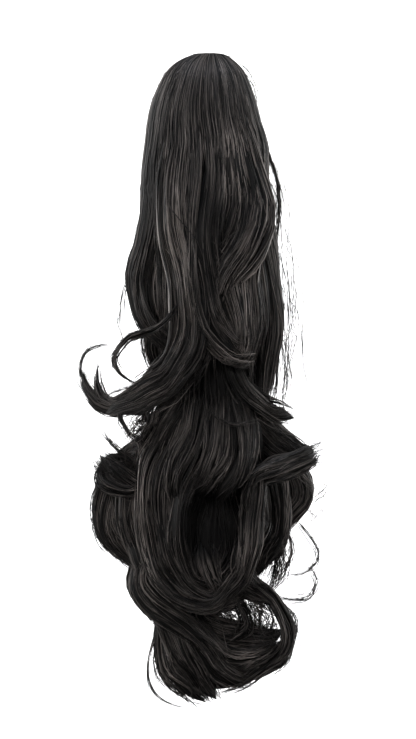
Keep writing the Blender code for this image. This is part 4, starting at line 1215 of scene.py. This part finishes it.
def wisp_strands(wisp, rng, steps=20):
    """A wisp's hairs, which follow its bends a little apart from each other."""
    fine = smooth_path(wisp.bends)
    travelled = np.concatenate(([0], np.cumsum(np.linalg.norm(np.diff(fine, axis=0), axis=1))))
    start = rng.uniform(0, WISP_ROOTS, (wisp.strands, 1))
    end = 1 - np.abs(rng.normal(0, WISP_ENDS, (wisp.strands, 1)))
    stops = (start + (end - start) * np.linspace(0, 1, steps)) * travelled[-1]
    paths = np.stack([np.interp(stops, travelled, column) for column in fine.T], axis=-1)
    own = np.linspace(0, 1, steps)[None, :, None]
    apart = rng.normal(0, wisp.spread, (wisp.strands, 1, 3)) * (0.5 + own)
    swing = rng.normal(0, wisp.spread, (wisp.strands, 1, 3)) * np.sin(
        math.pi * rng.uniform(1, 3, (wisp.strands, 1, 1)) * own
    )
    paths = paths + apart + swing
    toward = np.broadcast_to((0.2, -1.0, 0.1), paths.shape)
    return Bundle(paths, toward, *taper(paths, rng, WISP_WIDTH))


def flyaways(bundles, count, rng, steps=12):
    """Single hairs that spring off the combed strands and end in the air."""
    made = []
    for _ in range(count):
        bundle = bundles[rng.integers(len(bundles))]
        pick, stations = rng.integers(len(bundle.paths)), bundle.paths.shape[1]
        first = rng.uniform(*FLYAWAY_START) * (stations - 1)
        stops = first + np.linspace(0, 1, steps) * rng.uniform(*FLYAWAY_LENGTH) * stations
        stops = np.minimum(stops, stations - 1) + np.arange(steps) * 1e-4
        path, toward = (
            np.column_stack([np.interp(stops, np.arange(stations), column) for column in values[pick].T])
            for values in (bundle.paths, bundle.toward)
        )
        off = np.linspace(0, 1, steps)[:, None] ** 1.6 * rng.uniform(*FLYAWAY_RISE)
        aside = np.cross(toward, (0, 0, 1.0))
        made.append((path + toward * off + aside * off * rng.normal(0, 0.7), toward))
    paths, toward = (np.array(values) for values in zip(*made))
    return Bundle(paths, toward, *taper(paths, rng, FLYAWAY_WIDTH))


wisp_rng = np.random.default_rng(53)
weave_strands("wisps_and_flyaways", [
    *(wisp_strands(wisp, wisp_rng) for wisp in WISPS),
    flyaways([loose for _, loose in short_combed.values()], UPPER_FLYAWAYS, wisp_rng),
    flyaways([loose for _, loose in middle_combed + long_combed], LOWER_FLYAWAYS, wisp_rng),
], wisp_rng)

# Studio. The hairpiece hangs before a seamless pale sweep, under large soft lamps, and a long lens
# looks at it level and straight on, so that it fills the frame as in the photograph.
VIEW_HEIGHT = 0.6396  # of the frame, at the hair
VIEW_SIDE, VIEW_DROP = -0.0017, 0.2739  # the frame's middle, the second below the crown's top
CAMERA_DISTANCE = 2.6
SENSOR = 36.0  # millimetres
FLOOR_DROP = 0.16  # the floor's depth below the longest tip
SWEEP_DEPTH, SWEEP_WIDTH, SWEEP_HEIGHT = 1.6, 6.0, 3.0
COVE_RADIUS = 0.6
ROOM_LIGHT, ROOM_SEEN = 0.06, 0.95  # the room's strength as a light, and as the camera sees it

camera_data = bpy.data.cameras.new("photo_camera")
camera_data.sensor_fit = "VERTICAL"
camera_data.sensor_height = SENSOR
camera_data.lens = SENSOR * CAMERA_DISTANCE / VIEW_HEIGHT
camera = bpy.data.objects.new("photo_camera", camera_data)
camera.location = (VIEW_SIDE, -CAMERA_DISTANCE, CROWN_TOP - VIEW_DROP)
camera.rotation_euler = (math.radians(90), 0, 0)
bpy.context.collection.objects.link(camera)
bpy.context.scene.camera = camera

floor_height = cad_box[0].z - FLOOR_DROP
bpy.ops.mesh.primitive_plane_add(size=1, location=(0, 0, floor_height))
sweep = bpy.context.active_object
sweep.name = sweep.data.name = "studio_sweep"
sweep.scale = (SWEEP_WIDTH, 2 * SWEEP_DEPTH, 1)
bpy.ops.object.transform_apply(location=True, scale=True)
bpy.ops.object.mode_set(mode="EDIT")
bpy.ops.mesh.select_all(action="DESELECT")
bpy.ops.object.mode_set(mode="OBJECT")
for edge in sweep.data.edges:
    edge.select = all(sweep.data.vertices[i].co.y > 0 for i in edge.vertices)
bpy.ops.object.mode_set(mode="EDIT")
bpy.ops.mesh.extrude_region_move(TRANSFORM_OT_translate={"value": (0, 0, SWEEP_HEIGHT)})
bpy.ops.mesh.select_all(action="SELECT")
bpy.ops.mesh.normals_make_consistent(inside=True)
bpy.ops.object.mode_set(mode="OBJECT")
cove = sweep.modifiers.new("Cove", "BEVEL")
cove.width = COVE_RADIUS
cove.segments = 16
bpy.ops.object.modifier_apply(modifier=cove.name)
bpy.ops.object.shade_smooth()
sweep.select_set(False)
paper = bpy.data.materials.new("white_paper")  # clear from behind, so no view is shut off by it
paper.use_nodes = True
paper_shader = paper.node_tree.nodes["Principled BSDF"]
paper_shader.inputs["Base Color"].default_value = (0.9, 0.9, 0.9, 1)
paper_shader.inputs["Roughness"].default_value = 0.9
paper_side = add_node(paper.node_tree, "ShaderNodeNewGeometry")
paper_front = add_node(paper.node_tree, "ShaderNodeMath", {0: 1})
paper_front.operation = "SUBTRACT"
wire(
    paper.node_tree,
    (paper_side, "Backfacing", paper_front, 1),
    (paper_front, 0, paper_shader, "Alpha"),
)
sweep.data.materials.append(paper)
sweep.visible_glossy = False

Lamp = namedtuple("Lamp", "name place aim size power tint")
LAMPS = (
    Lamp("key", (-0.9, -1.4, 0.6), (0, 0, -0.15), 0.5, 11, (1.0, 0.97, 0.96)),
    Lamp("fill", (1.2, -1.5, 0.0), (0, 0, -0.2), 0.8, 5, (1.0, 0.97, 0.94)),
    Lamp("top", (0, -0.45, 1.15), (0, 0, 0), 0.6, 9, (0.82, 0.88, 1.0)),
    Lamp("sweep_left", (-1.6, 0.4, 0.3), (0, 1.6, -0.2), 1.4, 60, (1, 1, 1)),
    Lamp("sweep_right", (1.6, 0.4, 0.3), (0, 1.6, -0.2), 1.4, 60, (1, 1, 1)),
)
for lamp in LAMPS:
    light = bpy.data.lights.new(lamp.name, "AREA")
    light.size = lamp.size
    light.energy = lamp.power
    light.color = lamp.tint
    holder = bpy.data.objects.new(lamp.name, light)
    holder.location = lamp.place
    aim = [a - b for a, b in zip(lamp.aim, lamp.place)]
    holder.rotation_euler = (
        math.atan2(math.hypot(aim[0], aim[1]), -aim[2]), 0, math.atan2(-aim[0], aim[1]),
    )
    bpy.context.collection.objects.link(holder)

room = bpy.data.worlds.new("studio")
room.use_nodes = True
room.node_tree.nodes["Background"].inputs["Color"].default_value = (1, 1, 1, 1)
seen = add_node(room.node_tree, "ShaderNodeLightPath")
strength = add_node(room.node_tree, "ShaderNodeMapRange", {"To Min": ROOM_LIGHT, "To Max": ROOM_SEEN})
wire(
    room.node_tree,
    (seen, "Is Camera Ray", strength, "Value"),
    (strength, "Result", room.node_tree.nodes["Background"], "Strength"),
)
bpy.context.scene.world = room
bpy.context.scene.view_settings.view_transform = "Standard"
